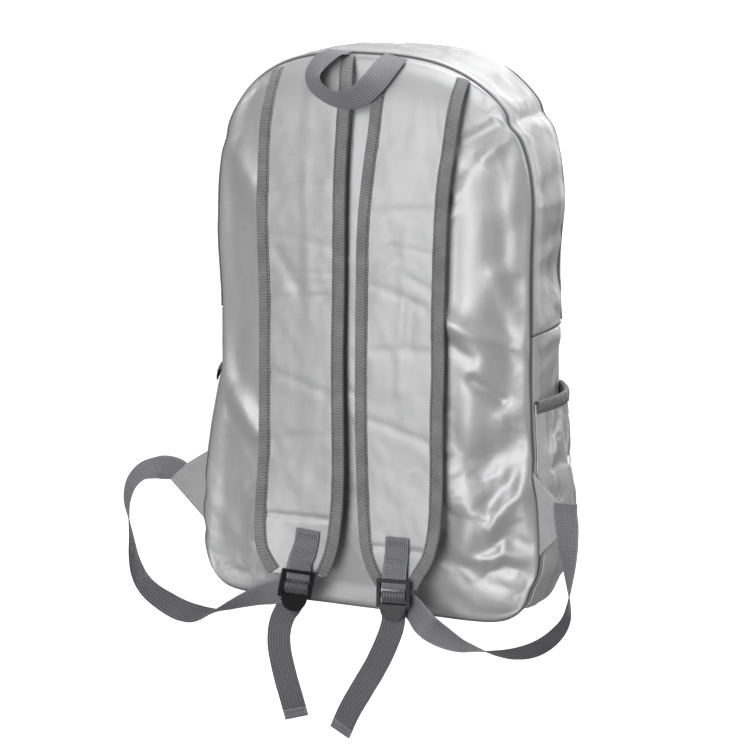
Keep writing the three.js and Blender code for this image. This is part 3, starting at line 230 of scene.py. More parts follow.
def grain(x, z, scaleX, scaleZ, seed):
    flat = [noise.noise(Vector((a / scaleX, b / scaleZ, seed))) for a, b in zip(x.ravel(), z.ravel())]
    return np.array(flat).reshape(x.shape)


def grains(rows, x, z):
    # rows: height, then the grain's width, length and seed
    return sum(height * grain(x, z, *rest) for height, *rest in rows)


# the panels' grain, and how it calms under the straps and puckers at the seam
panelGrain = {
    "back": [(0.9, 30, 75, 3.1), (0.35, 12, 30, 8.4)], "front": [(1.1, 34, 60, 13.1), (0.5, 12, 22, 18.4)],
    "pucker": [(0.25, 8, 12, 5.2)], "puckerFade": 6, "puckerRise": 8,
    "straps": (8, 62, 10), "underStraps": 0.8,
}


def foldedBulge(cut, folds, x, z):
    share = swell(cut, x, z)
    held = np.minimum(share * bag["foldReach"], 1)
    rows = [(*ends, width * bag["halfWidth"], height) for *ends, width, height in folds]
    return share, held, share + lineFolds(rows, x, z, bag["halfWidth"], bag["height"]) * held


def backY(x, z, fine=True):
    share, held, bulge = foldedBulge(backCut, backFolds, x, z)
    y = -bag["backBulge"] * bulge
    if fine:
        v = panelGrain
        aside, reach, fade = v["straps"]
        hidden = np.exp(-(np.maximum(np.abs(x + aside) - reach, 0) / fade) ** 2)
        crease = lineFolds(backCreases, x, z, bag["halfWidth"], bag["height"])
        pucker = grains(v["pucker"], x, z) * np.exp(-share * v["puckerFade"])
        y = (y - (bag["creaseGain"] * crease + grains(v["back"], x, z)) * held * (1 - v["underStraps"] * hidden)
             - pucker * np.minimum(share * v["puckerRise"], 1))
    return y


def frontY(x, z):
    held, bulge = foldedBulge(frontCut, frontFolds, x, z)[1:]
    return bag["depth"] + bag["frontBulge"] * bulge + grains(panelGrain["front"], x, z) * held


def panelGrid(line, cut, surface, acrossSteps, upSteps):
    half = 0.5 ** (1 / bag["corner"])
    square = cut["top"] + (cut["bottom"] - cut["top"]) * bag["squareFrom"]
    topShare = {s: shareAtHeight(line[s], cut["top"] - bag["arch"] * 0.25) for s in line}
    footShare = {s: shareAtHeight(line[s], square + (cut["bottom"] - square) * half) for s in line}
    s, t = np.linspace(0, 1, acrossSteps + 1)[None, :], np.linspace(0, 1, upSteps + 1)[:, None]

    def ends(end, share):
        a = [along(line["left" if v < 0.5 else "right"], end + (share["left" if v < 0.5 else "right"] - end)
                   * abs(2 * v - 1)) for v in s[0]]
        return np.array([p[0] for p in a])[None, :], np.array([p[1] for p in a])[None, :]

    low, high = ends(1.0, footShare), ends(0.0, topShare)
    rise = {k: along(line[k], footShare[k] + (topShare[k] - footShare[k]) * t[:, 0]) for k in line}
    out = []
    for k in (0, 1):
        left, right = rise["left"][k][:, None], rise["right"][k][:, None]
        corners = ((1 - s) * (1 - t) * left[0, 0] + s * (1 - t) * right[0, 0]
                   + (1 - s) * t * left[-1, 0] + s * t * right[-1, 0])
        out.append((1 - t) * low[k] + t * high[k] + (1 - s) * left + s * right - corners)
    x, z = out
    return np.stack([x, surface(x, z), z], axis=-1)


# meshes
def newObject(name, mesh):
    obj = bpy.data.objects.new(name, mesh)
    bpy.context.scene.collection.objects.link(obj)
    return obj


def gridObject(name, points, uv, closed=False, flip=False, seam=None):
    # a smooth quad grid; uv in tens of millimetres; seam is painted seam shade, 1 where the cloth sinks into a
    # seam and darkest there
    rows, cols = points.shape[:2]
    verts = (points.reshape(-1, 3) * mm).tolist()
    faces, corners = [], []
    span = cols if closed else cols - 1
    for i in range(rows - 1):
        for j in range(span):
            k = (j + 1) % cols
            quad = [(i, j), (i, k), (i + 1, k), (i + 1, j)]
            uvQuad = [(i, j), (i, j + 1), (i + 1, j + 1), (i + 1, j)]
            if flip:
                quad.reverse()
                uvQuad.reverse()
            faces.append([a * cols + b for a, b in quad])
            corners.extend(uvQuad)
    mesh = bpy.data.meshes.new(name)
    mesh.from_pydata(verts, [], faces)
    layer = mesh.uv_layers.new(name="uv")
    flat = np.array([uv[a, min(b, uv.shape[1] - 1)] for a, b in corners]) / 10.0
    layer.data.foreach_set("uv", flat.ravel())
    mesh.polygons.foreach_set("use_smooth", [True] * len(faces))
    # the seam attribute carries the painted shade along the seams
    if seam is not None:
        mesh.attributes.new("seam", "FLOAT", "POINT").data.foreach_set("value", seam.ravel())
    mesh.update()
    return newObject(name, mesh)


def thicken(obj, thickness, offset=-1.0):
    m = obj.modifiers.new("wall", "SOLIDIFY")
    m.thickness, m.offset, m.use_even_offset = thickness * mm, offset, False
    return obj


# softness ties the cloth to its place, cap limits each move, calm is the quiet reach beside the seams
settleValues = {"jitter": 0.02, "softness": 0.04, "cap": 3.2, "calm": 22.0}
clothValues = {
    "quality": 4, "mass": 0.15, "air_damping": 2.0, "tension_stiffness": 20, "compression_stiffness": 20,
    "shear_stiffness": 8, "bending_stiffness": 0.02, "pin_stiffness": 1.0,
}


def settle(points, held, growth, frames, seed):
    # the cloth finds its own wrinkles: edges are sewn fast, the rest is lightly tied to its place
    v = settleValues
    rows, cols = points.shape[:2]
    start = points.reshape(-1, 3).copy()
    rng = np.random.default_rng(seed)
    faces = [[i * cols + j, i * cols + j + 1, (i + 1) * cols + j + 1, (i + 1) * cols + j]
             for i in range(rows - 1) for j in range(cols - 1)]
    mesh = bpy.data.meshes.new("settling")
    mesh.from_pydata(((start + rng.normal(0, v["jitter"], start.shape)) * mm).tolist(), [], faces)
    obj = newObject("settling", mesh)
    group = obj.vertex_groups.new(name="held")
    for index, weight in enumerate(held.ravel()):
        group.add([index], float(max(weight, v["softness"])), "REPLACE")
    cloth = obj.modifiers.new("cloth", "CLOTH")
    for key, value in clothValues.items():
        setattr(cloth.settings, key, value)
    cloth.settings.shrink_min, cloth.settings.vertex_group_mass = -growth, "held"
    cloth.settings.effector_weights.gravity = 0
    cloth.collision_settings.use_collision = False
    cloth.point_cache.frame_start, cloth.point_cache.frame_end = 1, frames
    for f in range(1, frames + 1):
        bpy.context.scene.frame_set(f)
    done = obj.evaluated_get(bpy.context.evaluated_depsgraph_get()).to_mesh()
    moved = np.empty(len(done.vertices) * 3)
    done.vertices.foreach_get("co", moved)
    bpy.data.objects.remove(obj, do_unlink=True)
    bpy.context.scene.frame_set(1)
    shift = moved.reshape(-1, 3) / mm - start
    size = np.linalg.norm(shift, axis=1, keepdims=True)
    shift *= v["cap"] * np.tanh(size / v["cap"]) / np.maximum(size, 1e-6)
    shift *= smoothStep(edgeDistance(points), 1.0, v["calm"]).reshape(-1, 1)
    print("  settled", seed, "largest move", round(float(np.linalg.norm(shift, axis=1).max()), 2), "mm")
    return (start + shift).reshape(rows, cols, 3)


def respace(points, axis, reach=(0.5, 1.1, 1.9, 3.0)):
    # adds close rows beside both seams, reach in millimetres from each
    n = points.shape[axis]
    length = np.mean(np.sum(np.linalg.norm(np.diff(points, axis=axis), axis=2), axis=axis))
    near = [0.0] + [r / length for r in reach]
    inside = [q for q in np.linspace(0, 1, n) if near[-1] * 1.3 < q < 1 - near[-1] * 1.3]
    wanted = np.array(near + inside + [1 - q for q in near[::-1]]) * (n - 1)
    low = np.clip(np.floor(wanted).astype(int), 0, n - 2)
    part = wanted - low
    a, b = np.take(points, low, axis=axis), np.take(points, low + 1, axis=axis)
    part = part[:, None, None] if axis == 0 else part[None, :, None]
    return a + (b - a) * part


def edgeDistance(points, axes=(0, 1)):
    # millimetres from each point to the nearest end of its grid lines
    nearest = np.full(points.shape[:2], 1e6)
    for axis in axes:
        step = np.linalg.norm(np.diff(points, axis=axis), axis=2)
        zero = np.zeros_like(np.take(step, [0], axis=axis))
        run = np.concatenate([zero, np.cumsum(step, axis=axis)], axis=axis)
        nearest = np.minimum(nearest, np.minimum(run, np.take(run, [-1], axis=axis) - run))
    return nearest


def rim(points, sides, shift):
    # turns the cloth in at a seam: one more row, moved by shift (rows, cols, 3 or a plain vector)
    for side in sides:
        axis = 0 if side in ("first", "last") else 1
        edge = np.take(points, [0 if side in ("first", "start") else -1], axis=axis)
        move = shift[side] if isinstance(shift, dict) else np.array(shift)
        ring = edge + (move if np.ndim(move) == 1 else move.reshape(edge.shape))
        points = np.concatenate([ring, points] if side in ("first", "start") else [points, ring], axis=axis)
    return points


def uvOf(points):
    # lengths along the grid's own lines, in millimetres
    du = np.linalg.norm(np.diff(points, axis=1), axis=2)
    dv = np.linalg.norm(np.diff(points, axis=0), axis=2)
    u = np.concatenate([np.zeros((points.shape[0], 1)), np.cumsum(du, axis=1)], axis=1)
    v = np.concatenate([np.zeros((1, points.shape[1])), np.cumsum(dv, axis=0)], axis=0)
    u = u - u[:, [u.shape[1] // 2]]
    return np.stack([u, v], axis=-1)


# materials
def shaderTree(name):
    material = bpy.data.materials.new(name)
    material.use_nodes = True
    tree = material.node_tree
    shader = tree.nodes["Principled BSDF"]
    return material, tree, shader


def feed(tree, node, inputs):
    # links each socket and sets each plain value
    for key, value in inputs.items():
        if isinstance(value, bpy.types.NodeSocket):
            tree.links.new(value, node.inputs[key])
        else:
            node.inputs[key].default_value = value
    return node


def add(tree, kind, inputs=None, **settings):
    node = tree.nodes.new(kind)
    for key, value in settings.items():
        setattr(node, key, value)
    return feed(tree, node, inputs or {})


def calc(tree, operation, *values):
    return add(tree, "ShaderNodeMath", dict(enumerate(values)), operation=operation).outputs[0]


def uvParts(tree):
    uv = add(tree, "ShaderNodeUVMap", uv_map="uv").outputs[0]
    parts = add(tree, "ShaderNodeSeparateXYZ", {0: uv})
    return uv, parts.outputs[0], parts.outputs[1]


def ribs(tree, value, pitch):
    # a wave from 0 to 1 with the pitch in millimetres; uv is in tens of millimetres
    turn = calc(tree, "MULTIPLY", value, 2 * math.pi * 10 / pitch)
    return calc(tree, "MULTIPLY_ADD", calc(tree, "SINE", turn), 0.5, 0.5)


def noiseValue(tree, vector, scale, detail=3.0, rough=0.55):
    return add(tree, "ShaderNodeTexNoise", {"Vector": vector, "Scale": scale, "Detail": detail,
                                            "Roughness": rough}
               ).outputs["Fac"]


def blendColor(tree, factor, low, high, ends=(0.0, 1.0)):
    ramp = add(tree, "ShaderNodeValToRGB", {0: factor})
    for element, place, tone in zip(ramp.color_ramp.elements, ends, (low, high)):
        element.position, element.color = place, (*tone, 1)
    return ramp.outputs[0]


def bumpFrom(tree, height, distance, strength=1.0, below=None):
    inputs = {"Height": height, "Distance": distance, "Strength": strength}
    if below is not None:
        inputs["Normal"] = below
    return add(tree, "ShaderNodeBump", inputs).outputs[0]


def clothMaterial(name, light, dark, rough, metal):
    # satin nylon: plain weave, faint streaks along both threads, soft pressed creases
    # the point attribute "seam" paints shade into it where it sinks into a seam: a near-black colour and less
    # metal sheen there
    material, tree, shader = shaderTree(name)
    uv, u, v = uvParts(tree)
    weave = calc(tree, "MULTIPLY", ribs(tree, u, 0.55), ribs(tree, v, 0.6))
    where = add(tree, "ShaderNodeTexCoord").outputs["Object"]
    cloud = noiseValue(tree, where, 14.0, 4.0)
    streaks = [add(tree, "ShaderNodeMapping", {"Vector": uv, "Scale": scale}).outputs[0]
               for scale in ((6.0, 0.25, 1), (0.3, 5.0, 1))]
    lines = calc(tree, "ADD", *[noiseValue(tree, streak, 1.0, 2.0) for streak in streaks])
    tone = calc(tree, "MULTIPLY_ADD", lines, 0.22, 0.06)
    for part, gain in ((cloud, 0.45), (weave, 0.10)):
        tone = calc(tree, "ADD", tone, calc(tree, "MULTIPLY", part, gain))
    # painted seam shade: the seam attribute mixes in the near-black colour below
    seam = add(tree, "ShaderNodeAttribute", attribute_name="seam").outputs["Fac"]
    color = {0: seam, 6: blendColor(tree, tone, dark, light), 7: (0.012, 0.012, 0.013, 1)}
    fine = bumpFrom(tree, weave, 0.00006, 0.5)
    feed(tree, shader, {
        "Base Color": add(tree, "ShaderNodeMix", color, data_type="RGBA").outputs[2],
        "Roughness": calc(tree, "MULTIPLY_ADD", lines, 0.12, rough - 0.12),
        "Metallic": calc(tree, "MULTIPLY_ADD", seam, -metal, metal),
        "Sheen Weight": 0.25, "Sheen Roughness": 0.45, "Specular IOR Level": 0.6,
        "Normal": bumpFrom(tree, noiseValue(tree, where, 38.0, 4.0), 0.0016, 0.3, fine),
    })
    return material


def wovenMaterial(name, light, dark, ribPitch, crossPitch, rough=0.75, ribHeight=0.35, speckle=0.5,
                  gridPitch=1.7):
    # heavy ribbed tape: ribs along it, small cross threads, uneven speckled tone
    material, tree, shader = shaderTree(name)
    uv, u, v = uvParts(tree)
    rib, cross = ribs(tree, u, ribPitch), ribs(tree, v, crossPitch)
    shifted = ribs(tree, calc(tree, "ADD", v, calc(tree, "MULTIPLY", u, 0.5)), crossPitch)
    weave = calc(tree, "MULTIPLY", calc(tree, "ADD", cross, shifted), 0.5)
    dashes = calc(tree, "MULTIPLY", calc(tree, "POWER", rib, 3.0), calc(tree, "MULTIPLY_ADD", weave, 0.6, 0.4))
    holes = calc(tree, "MULTIPLY", calc(tree, "SUBTRACT", 1.0, ribs(tree, u, gridPitch)),
                 calc(tree, "SUBTRACT", 1.0, ribs(tree, v, gridPitch)))
    edgeBand = calc(tree, "GREATER_THAN", calc(tree, "ABSOLUTE", calc(tree, "SUBTRACT", u, 10.0)), 0.86)
    grid = calc(tree, "SUBTRACT", 1.0, calc(tree, "MULTIPLY", holes, calc(tree, "SUBTRACT", 1.0, edgeBand)))
    isGrid = calc(tree, "GREATER_THAN", u, 5.0)
    ribbed = calc(tree, "MULTIPLY_ADD", dashes, 0.75, 0.25)
    both = calc(tree, "ADD", calc(tree, "MULTIPLY", grid, isGrid),
                calc(tree, "MULTIPLY", ribbed, calc(tree, "SUBTRACT", 1.0, isGrid)))
    dust = add(tree, "ShaderNodeMapping", {"Vector": uv, "Scale": (7.0, 7.0, 1)}).outputs[0]
    specks = noiseValue(tree, dust, 1.6, 2.0, 0.7)
    patch = noiseValue(tree, uv, 0.35, 2.0)
    tone = calc(tree, "ADD", calc(tree, "MULTIPLY", both, 0.8),
                calc(tree, "ADD", calc(tree, "MULTIPLY", specks, speckle), calc(tree, "MULTIPLY", patch, 0.25)))
    height = calc(tree, "MULTIPLY_ADD", weave, 0.25, both)
    feed(tree, shader, {
        "Base Color": blendColor(tree, calc(tree, "SUBTRACT", tone, 0.36), dark, light),
        "Roughness": rough, "Sheen Weight": 0.15, "Specular IOR Level": 0.35,
        "Normal": bumpFrom(tree, height, ribHeight * mm, 0.9),
    })
    return material


def bindingMaterial(name, light, dark, width):
    # edge tape: short cross ribs broken by specks, with a smoother stretch along its inner edge
    material, tree, shader = shaderTree(name)
    uv, u, v = uvParts(tree)
    cross = ribs(tree, v, 1.25)
    fine = ribs(tree, u, 0.9)
    dots = add(tree, "ShaderNodeMapping", {"Vector": uv, "Scale": (11.0, 8.0, 1)}).outputs[0]
    specks = noiseValue(tree, dots, 1.0, 2.0, 0.8)
    patch = noiseValue(tree, uv, 0.55, 3.0)
    inner = calc(tree, "LESS_THAN", calc(tree, "ABSOLUTE", calc(tree, "ADD", u, -width)), 0.16)
    busy = calc(tree, "SUBTRACT", 1.0, calc(tree, "MULTIPLY", inner, 0.6))
    broken = calc(tree, "MULTIPLY", calc(tree, "MULTIPLY", fine, specks), 0.9)
    weave = calc(tree, "ADD", calc(tree, "MULTIPLY", cross, 0.45), broken)
    tone = calc(tree, "MULTIPLY_ADD", weave, busy, calc(tree, "MULTIPLY", patch, 0.35))
    feed(tree, shader, {
        "Base Color": blendColor(tree, calc(tree, "SUBTRACT", tone, 0.12), dark, light, (0.16, 0.95)),
        "Roughness": 0.78, "Sheen Weight": 0.12, "Specular IOR Level": 0.4,
        "Normal": bumpFrom(tree, weave, 0.0004, 0.9),
    })
    return material


def plasticMaterial(name, tone, rough=0.32):
    material, tree, shader = shaderTree(name)
    where = add(tree, "ShaderNodeTexCoord").outputs["Object"]
    feed(tree, shader, {
        "Base Color": blendColor(tree, noiseValue(tree, where, 90.0, 3.0), tuple(0.75 * t for t in tone), tone),
        "Specular IOR Level": 0.2,
        "Roughness": calc(tree, "MULTIPLY_ADD", noiseValue(tree, where, 300.0, 3.0), 0.16, rough - 0.08),
        "Normal": bumpFrom(tree, noiseValue(tree, where, 1500.0, 2.0), 0.00008, 0.4),
    })
    return material


def threadMaterial(name, tone):
    material, tree, shader = shaderTree(name)
    where = add(tree, "ShaderNodeTexCoord").outputs["Object"]
    feed(tree, shader, {
        "Base Color": blendColor(tree, noiseValue(tree, where, 700.0, 2.0), tuple(0.7 * t for t in tone), tone),
        "Roughness": 0.6, "Normal": bumpFrom(tree, noiseValue(tree, where, 2500.0, 1.0), 0.0001, 0.5),
    })
    return material


finishes = {
    "cloth": clothMaterial("satinNylon", (0.45, 0.45, 0.455), (0.285, 0.285, 0.29), 0.46, 0.42),
    "padCloth": clothMaterial("strapNylon", (0.40, 0.40, 0.405), (0.265, 0.265, 0.268), 0.47, 0.26),
    "tabCloth": clothMaterial("tabNylon", (0.30, 0.30, 0.303), (0.20, 0.20, 0.203), 0.55, 0.1),
    "binding": bindingMaterial("ribbedBinding", (0.36, 0.36, 0.363), (0.025, 0.025, 0.026), 0.2),
    "webbing": wovenMaterial("strapWebbing", (0.23, 0.23, 0.243), (0.04, 0.04, 0.044), 2.4, 0.9, 0.62, 0.4,
                             0.3),
    "loopWebbing": wovenMaterial("loopWebbing", (0.29, 0.29, 0.30), (0.11, 0.11, 0.116), 2.4, 0.9, 0.6, 0.4,
                                 0.3),
    "elastic": wovenMaterial("ribbedElastic", (0.20, 0.20, 0.205), (0.075, 0.075, 0.078), 1.4, 1.0, 0.8, 0.3,
                             0.4),
    "zipTape": wovenMaterial("zipTape", (0.30, 0.30, 0.305), (0.15, 0.15, 0.155), 0.7, 0.7, 0.8, 0.15, 0.3),
    "coil": plasticMaterial("zipCoil", (0.2, 0.2, 0.205), 0.4),
    "plastic": plasticMaterial("blackPlastic", (0.010, 0.010, 0.011), 0.4),
    "thread": threadMaterial("seamThread", (0.62, 0.62, 0.63)),
    "darkThread": threadMaterial("bindingThread", (0.07, 0.07, 0.073)),
}


def finishPiece(obj, finish, slot, *replaced):
    obj.data.materials.clear()
    obj.data.materials.append(finishes[finish])
    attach(obj, "root")
    if replaced:
        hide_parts(*replaced)
    return obj


# the two large panels; fullness is the height, place and width of the soft ridge beside the seam; the seam
# shade value is how far in millimetres the painted shade along the seams reaches
panelValues = {
    "steps": (120, 190), "frontSteps": (70, 100), "wall": 0.8, "turnIn": 3.0, "roll": 2.4, "rollReach": 1.1,
    "fullness": (0.35, 4.5, 2.5), "growth": {"back_panel": 0.02, "front_panel": 0.012}, "frames": 22,
    "paintedSeamShade": 1.9,
}


def edgeWeights(rows, cols):
    w = np.zeros((rows, cols))
    w[0], w[-1], w[:, 0], w[:, -1] = 1, 1, 1, 1
    return w


def addPanel(v, name, line, cut, surface, steps, inward, node, seed, flip):
    grid = panelGrid(line, cut, surface, *steps)
    grid = settle(grid, edgeWeights(*grid.shape[:2]), v["growth"][node], v["frames"], seed)
    grid = respace(respace(grid, 0), 1)
    d = edgeDistance(grid)
    # the edge rolls into the seam, with a slight fullness beside it
    height, place, width = v["fullness"]
    full = height * np.exp(-((d - place) / width) ** 2)
    grid[..., 1] += inward * (v["roll"] * np.exp(-d / v["rollReach"]) - full)
    grid = rim(grid, ("first", "last", "start", "end"), (0, inward * v["turnIn"], 0))
    # painted shade along the seam: 1 on the turned-in rim, fading out over the first millimetres
    seam = np.pad(np.exp(-(d / v["paintedSeamShade"]) ** 4), 1, constant_values=1.0)
    obj = gridObject(name, grid, np.stack([grid[..., 0], grid[..., 2]], axis=-1), flip=flip, seam=seam)
    thicken(obj, v["wall"])
    return finishPiece(obj, "cloth", "cloth", node)


addPanel(panelValues, "backPanelCloth", halves["back"], backCut, backY, panelValues["steps"], 1, "back_panel",
         11, False)
addPanel(panelValues, "frontPanelCloth", halves["front"], frontCut, frontY, panelValues["frontSteps"], -1,
         "front_panel",
         12, True)
print("stage: panels")

# the gusset all round: over the top, down the sides and under the base; the seam shade value is how far in
# millimetres the painted shade along both seams reaches
gussetValues = {
    "wall": 0.8, "turnIn": 3.0, "wrinkleReach": 0.35, "paintedSeamShade": 1.1, "growth": 0.02, "frames": 18,
    "ridge": (1.0, 2.0, 1.2), "groove": (2.0, 0.5), "seeds": {"left": 13.0, "right": 4.0},
    "grain": [(1.0, 20, 3, 0), (0.5, 60, 6, 2)],
    "wrinkles": [(0.16, 0.4, 0.03, -0.45), (0.3, 0.6, 0.03, 0.4), (0.38, 0.45, 0.025, -0.5),
                 (0.47, 0.7, 0.03, 0.55),
                 (0.53, 0.4, 0.025, -0.45)],
    "creases": [(0.19, 0.25, 0.012, 0.3, -1.6), (0.24, 0.55, 0.014, 0.35, 1.5), (0.275, 0.35, 0.012, 0.3, -1.3),
                (0.335, 0.5, 0.012, 0.4, -1.5), (0.355, 0.35, 0.012, 0.3, 1.4), (0.415, 0.6, 0.014, 0.35, 1.5),
                (0.445, 0.4, 0.012, 0.3, -1.6), (0.495, 0.3, 0.012, 0.3, 1.2), (0.12, 0.5, 0.014, 0.35, 1.2)],
}


def gussetFrame(side, down, deep):
    line, front = halves["back"][side], halves["front"][side]
    bx, bz = along(line, down)
    fx, fz = along(front, down)
    ax, az = along(line, np.minimum(down + 0.004, 1))
    px, pz = along(line, np.maximum(down - 0.004, 0))
    sign = 1 if side == "right" else -1
    tx, tz = ax - px, az - pz
    size = np.hypot(tx, tz)
    out = np.stack([-sign * tz / size, np.zeros_like(tx), sign * tx / size], axis=-1)
    atBase = smoothStep(-out[..., 2], 0.2, 0.9)
    shoulder = np.maximum(bag["shoulderBulge"] * sign * np.maximum(out[..., 0] * out[..., 2], 0) * 2, 0)
    rise = (1 - atBase) * bag["gussetBulge"][side] + atBase * bag["baseBulge"] + shoulder
    bulge = rise * np.sin(np.pi * deep)
    rear = backY(bx, bz, False) + bag["cloth"] * 0.5 + bag["seamGap"]
    fore = bag["depth"] - bag["cloth"] * 0.5 - bag["seamGap"]
    place = np.stack([bx + (fx - bx) * deep, rear + (fore - rear) * deep, bz + (fz - bz) * deep], axis=-1)
    return place + out * bulge[..., None], out


def gussetWrinkle(down, deep):
    total = np.zeros_like(deep)
    for at, middle, width, height in gussetValues["wrinkles"]:
        reach = gussetValues["wrinkleReach"]
        total += height * np.exp(-((down - at) / width) ** 2 - ((deep - middle) / reach) ** 2)
    return total * bag["gussetBulge"]["right"] * np.sin(np.pi * deep)


def gussetFine(down, deep, seed):
    total = np.zeros_like(deep)
    for at, middle, width, reach, height in gussetValues["creases"]:
        slant = (deep - middle) * 0.03
        total += height * np.exp(-((down + slant - at) / width) ** 2 - ((deep - middle) / reach) ** 2)
    crumple = sum(h * grain(down * a, deep * b, 1, 1, seed + more) for h, a, b, more in gussetValues["grain"])
    return (total + crumple) * np.sin(np.pi * np.clip(deep, 0, 1)) ** 0.5


def gussetPoints(side, down, deep):
    place, out = gussetFrame(side, down, deep)
    rise = gussetWrinkle(down, deep) + gussetFine(down, deep, gussetValues["seeds"][side])
    return place + out * rise[..., None], out


zipShare = {s: shareAtHeight(halves["back"][s], -bag["zipDown"]) for s in ("left", "right")}
baseShare = {s: shareAtHeight(halves["back"][s], -bag["height"] * bag["baseDown"]) for s in ("left", "right")}


def gussetStrip(route, steps, deepFrom, deepTo, deepSteps):
    # route: list of (side, down) ends, joined one after another; rows run along it, columns over the depth
    pieces, outs = [], []
    for n, (side, a, b) in enumerate(route):
        down = np.linspace(a, b, steps // len(route) + 1)[(1 if n else 0):, None]
        deep = np.linspace(deepFrom, deepTo, deepSteps + 1)[None, :]
        place, out = gussetPoints(side, down + 0 * deep, deep + 0 * down)
        pieces.append(place)
        outs.append(out)
    return np.concatenate(pieces), np.concatenate(outs)


overTop = [("right", zipShare["right"], 0.0), ("left", 0.0, zipShare["left"])]
underBase = [("right", baseShare["right"], 1.0), ("left", 1.0, baseShare["left"])]


def addStrip(name, route, steps, deepFrom, deepTo, deepSteps, node, seed):
    v = gussetValues
    grid, out = gussetStrip(route, steps, deepFrom, deepTo, deepSteps)
    grid = settle(grid, edgeWeights(*grid.shape[:2]), v["growth"], v["frames"], seed)
    steady = out[:, :1]
    grid = respace(grid, 1)
    length = edgeDistance(grid, (1,))
    first = np.arange(grid.shape[1]) < grid.shape[1] / 2
    # painted shade along both seams of the strip, 1 on the turned-in rims
    seam = np.zeros(grid.shape[:2])
    height, place, width = v["ridge"]
    depth, reach = v["groove"]
    for here in (first, ~first):
        d = np.where(here[None, :], length, 1e3)
        ridge = height * np.exp(-((d - place) / width) ** 2) - depth * np.exp(-d / reach)
        grid = grid + steady * ridge[..., None]
        seam = seam + np.exp(-(d / v["paintedSeamShade"]) ** 4)
    seam = np.pad(seam, ((0, 0), (1, 1)), constant_values=1.0)
    turned = -steady * v["turnIn"]
    grid = rim(grid, ("start", "end"), {"start": turned, "end": turned})
    obj = gridObject(name, grid, uvOf(grid), flip=route[0][0] == "right", seam=seam)
    thicken(obj, v["wall"])
    return finishPiece(obj, "cloth", "cloth", node)


addStrip("topGussetCloth", overTop, 280, 0.0, bag["zipFrom"], 24, "top_gusset", 21)
addStrip("topFrontCloth", overTop, 280, bag["zipTo"] + 0.006, 1.0, 6, "top_gusset_front", 22)
for side in ("left", "right"):
    a, b = zipShare[side] + 0.0015, baseShare[side] - 0.0015
    addStrip(side + "GussetCloth", [(side, a, b)], 110, 0.0, 1.0, 34, "side_gusset_" + side, 23)
addStrip("baseGussetCloth", underBase, 120, 0.0, 1.0, 30, "base_gusset", 25)
print("stage: gusset")

# the zip: tape, coil, slider and pull
zipValues = {
    "steps": 300, "coilWidth": 4.6, "coilHeight": 1.5, "toothEvery": 1.6, "tape": 0.7,
    "tooth": (0.95, 0.75, 0.8), "toothPlace": (0.42, 0.25, 0.1),
}


def zipPlaces(steps):
    middle = (bag["zipFrom"] + bag["zipTo"]) / 2
    places = []
    for n, (side, a, b) in enumerate(overTop):
        down = np.linspace(a + (b - a) * (0.008 if n == 0 else 0.0), b - (b - a) * (0.008 if n else 0.0),
                           steps // 2 + 1)[(1 if n else 0):]
        spread = []
        for deep in (bag["zipFrom"] + 0.006, middle, bag["zipTo"] - 0.006):
            d = np.full_like(down, deep)
            place, out = gussetFrame(side, down, d)
            spread.append(place + out * gussetWrinkle(down, d)[:, None])
        places.append((np.stack(spread, axis=1), out))
    return np.concatenate([p[0] for p in places]), np.concatenate([p[1] for p in places])


def addZip(v):
    places, out = zipPlaces(v["steps"])
    span = places[:, 2] - places[:, 0]
    across = unit(span)
    normal = unit(out - across * np.sum(out * across, axis=1, keepdims=True))
    half = np.linalg.norm(span, axis=1, keepdims=True) / 2 - 0.2
    c, h = v["coilWidth"] / 2, v["coilHeight"]
    line = [(-1.0, 0.0, 0), (-0.6, 0.15, 0), (0, 0, -c), (0, 0.7, -c), (0, h, -c * 0.5), (0, h * 0.75, 0),
            (0, h, c * 0.5), (0, 0.7, c), (0, 0, c), (0.6, 0.15, 0), (1.0, 0.0, 0)]
    grid = np.stack([places[:, 1] + across * (half * share + offset) + normal * up
                     for share, up, offset in line], axis=1)
    tape = gridObject("zipTape", grid, uvOf(grid), flip=True)
    thicken(tape, v["tape"])
    finishPiece(tape, "zipTape", "zip_tape", "zip")
    # the coil's teeth stand across the middle of the tape
    run = runLength(places[:, 1])
    wide, long, high = v["tooth"]
    aside, ahead, rise = v["toothPlace"]
    bm = bmesh.new()
    for at in np.arange(3, run[-1] - 3, v["toothEvery"]):
        k = min(int(np.searchsorted(run, at)), len(run) - 2)
        t = unit(places[k + 1, 1] - places[k - 1, 1])
        base = places[k, 1] + (at - run[k]) * t + normal[k] * (h + rise)
        for sign in (-1, 1):
            m = Matrix((Vector(across[k]), Vector(t), Vector(normal[k]))).transposed().to_4x4()
            centre = base + across[k] * sign * c * aside + t * sign * v["toothEvery"] * ahead
            m.translation = Vector(centre) * mm
            bmesh.ops.create_cube(bm, size=mm, matrix=m @ Matrix.Diagonal((c * wide, long, high, 1)))
    mesh = bpy.data.meshes.new("zipCoil")
    bm.to_mesh(mesh)
    bm.free()
    finishPiece(newObject("zipCoil", mesh), "coil", "zip_tape")


addZip(zipValues)
for name in ("zip_slider", "zip_pull"):
    nodes[name].data.materials.clear()
    nodes[name].data.materials.append(finishes["coil"])
print("stage: zip")

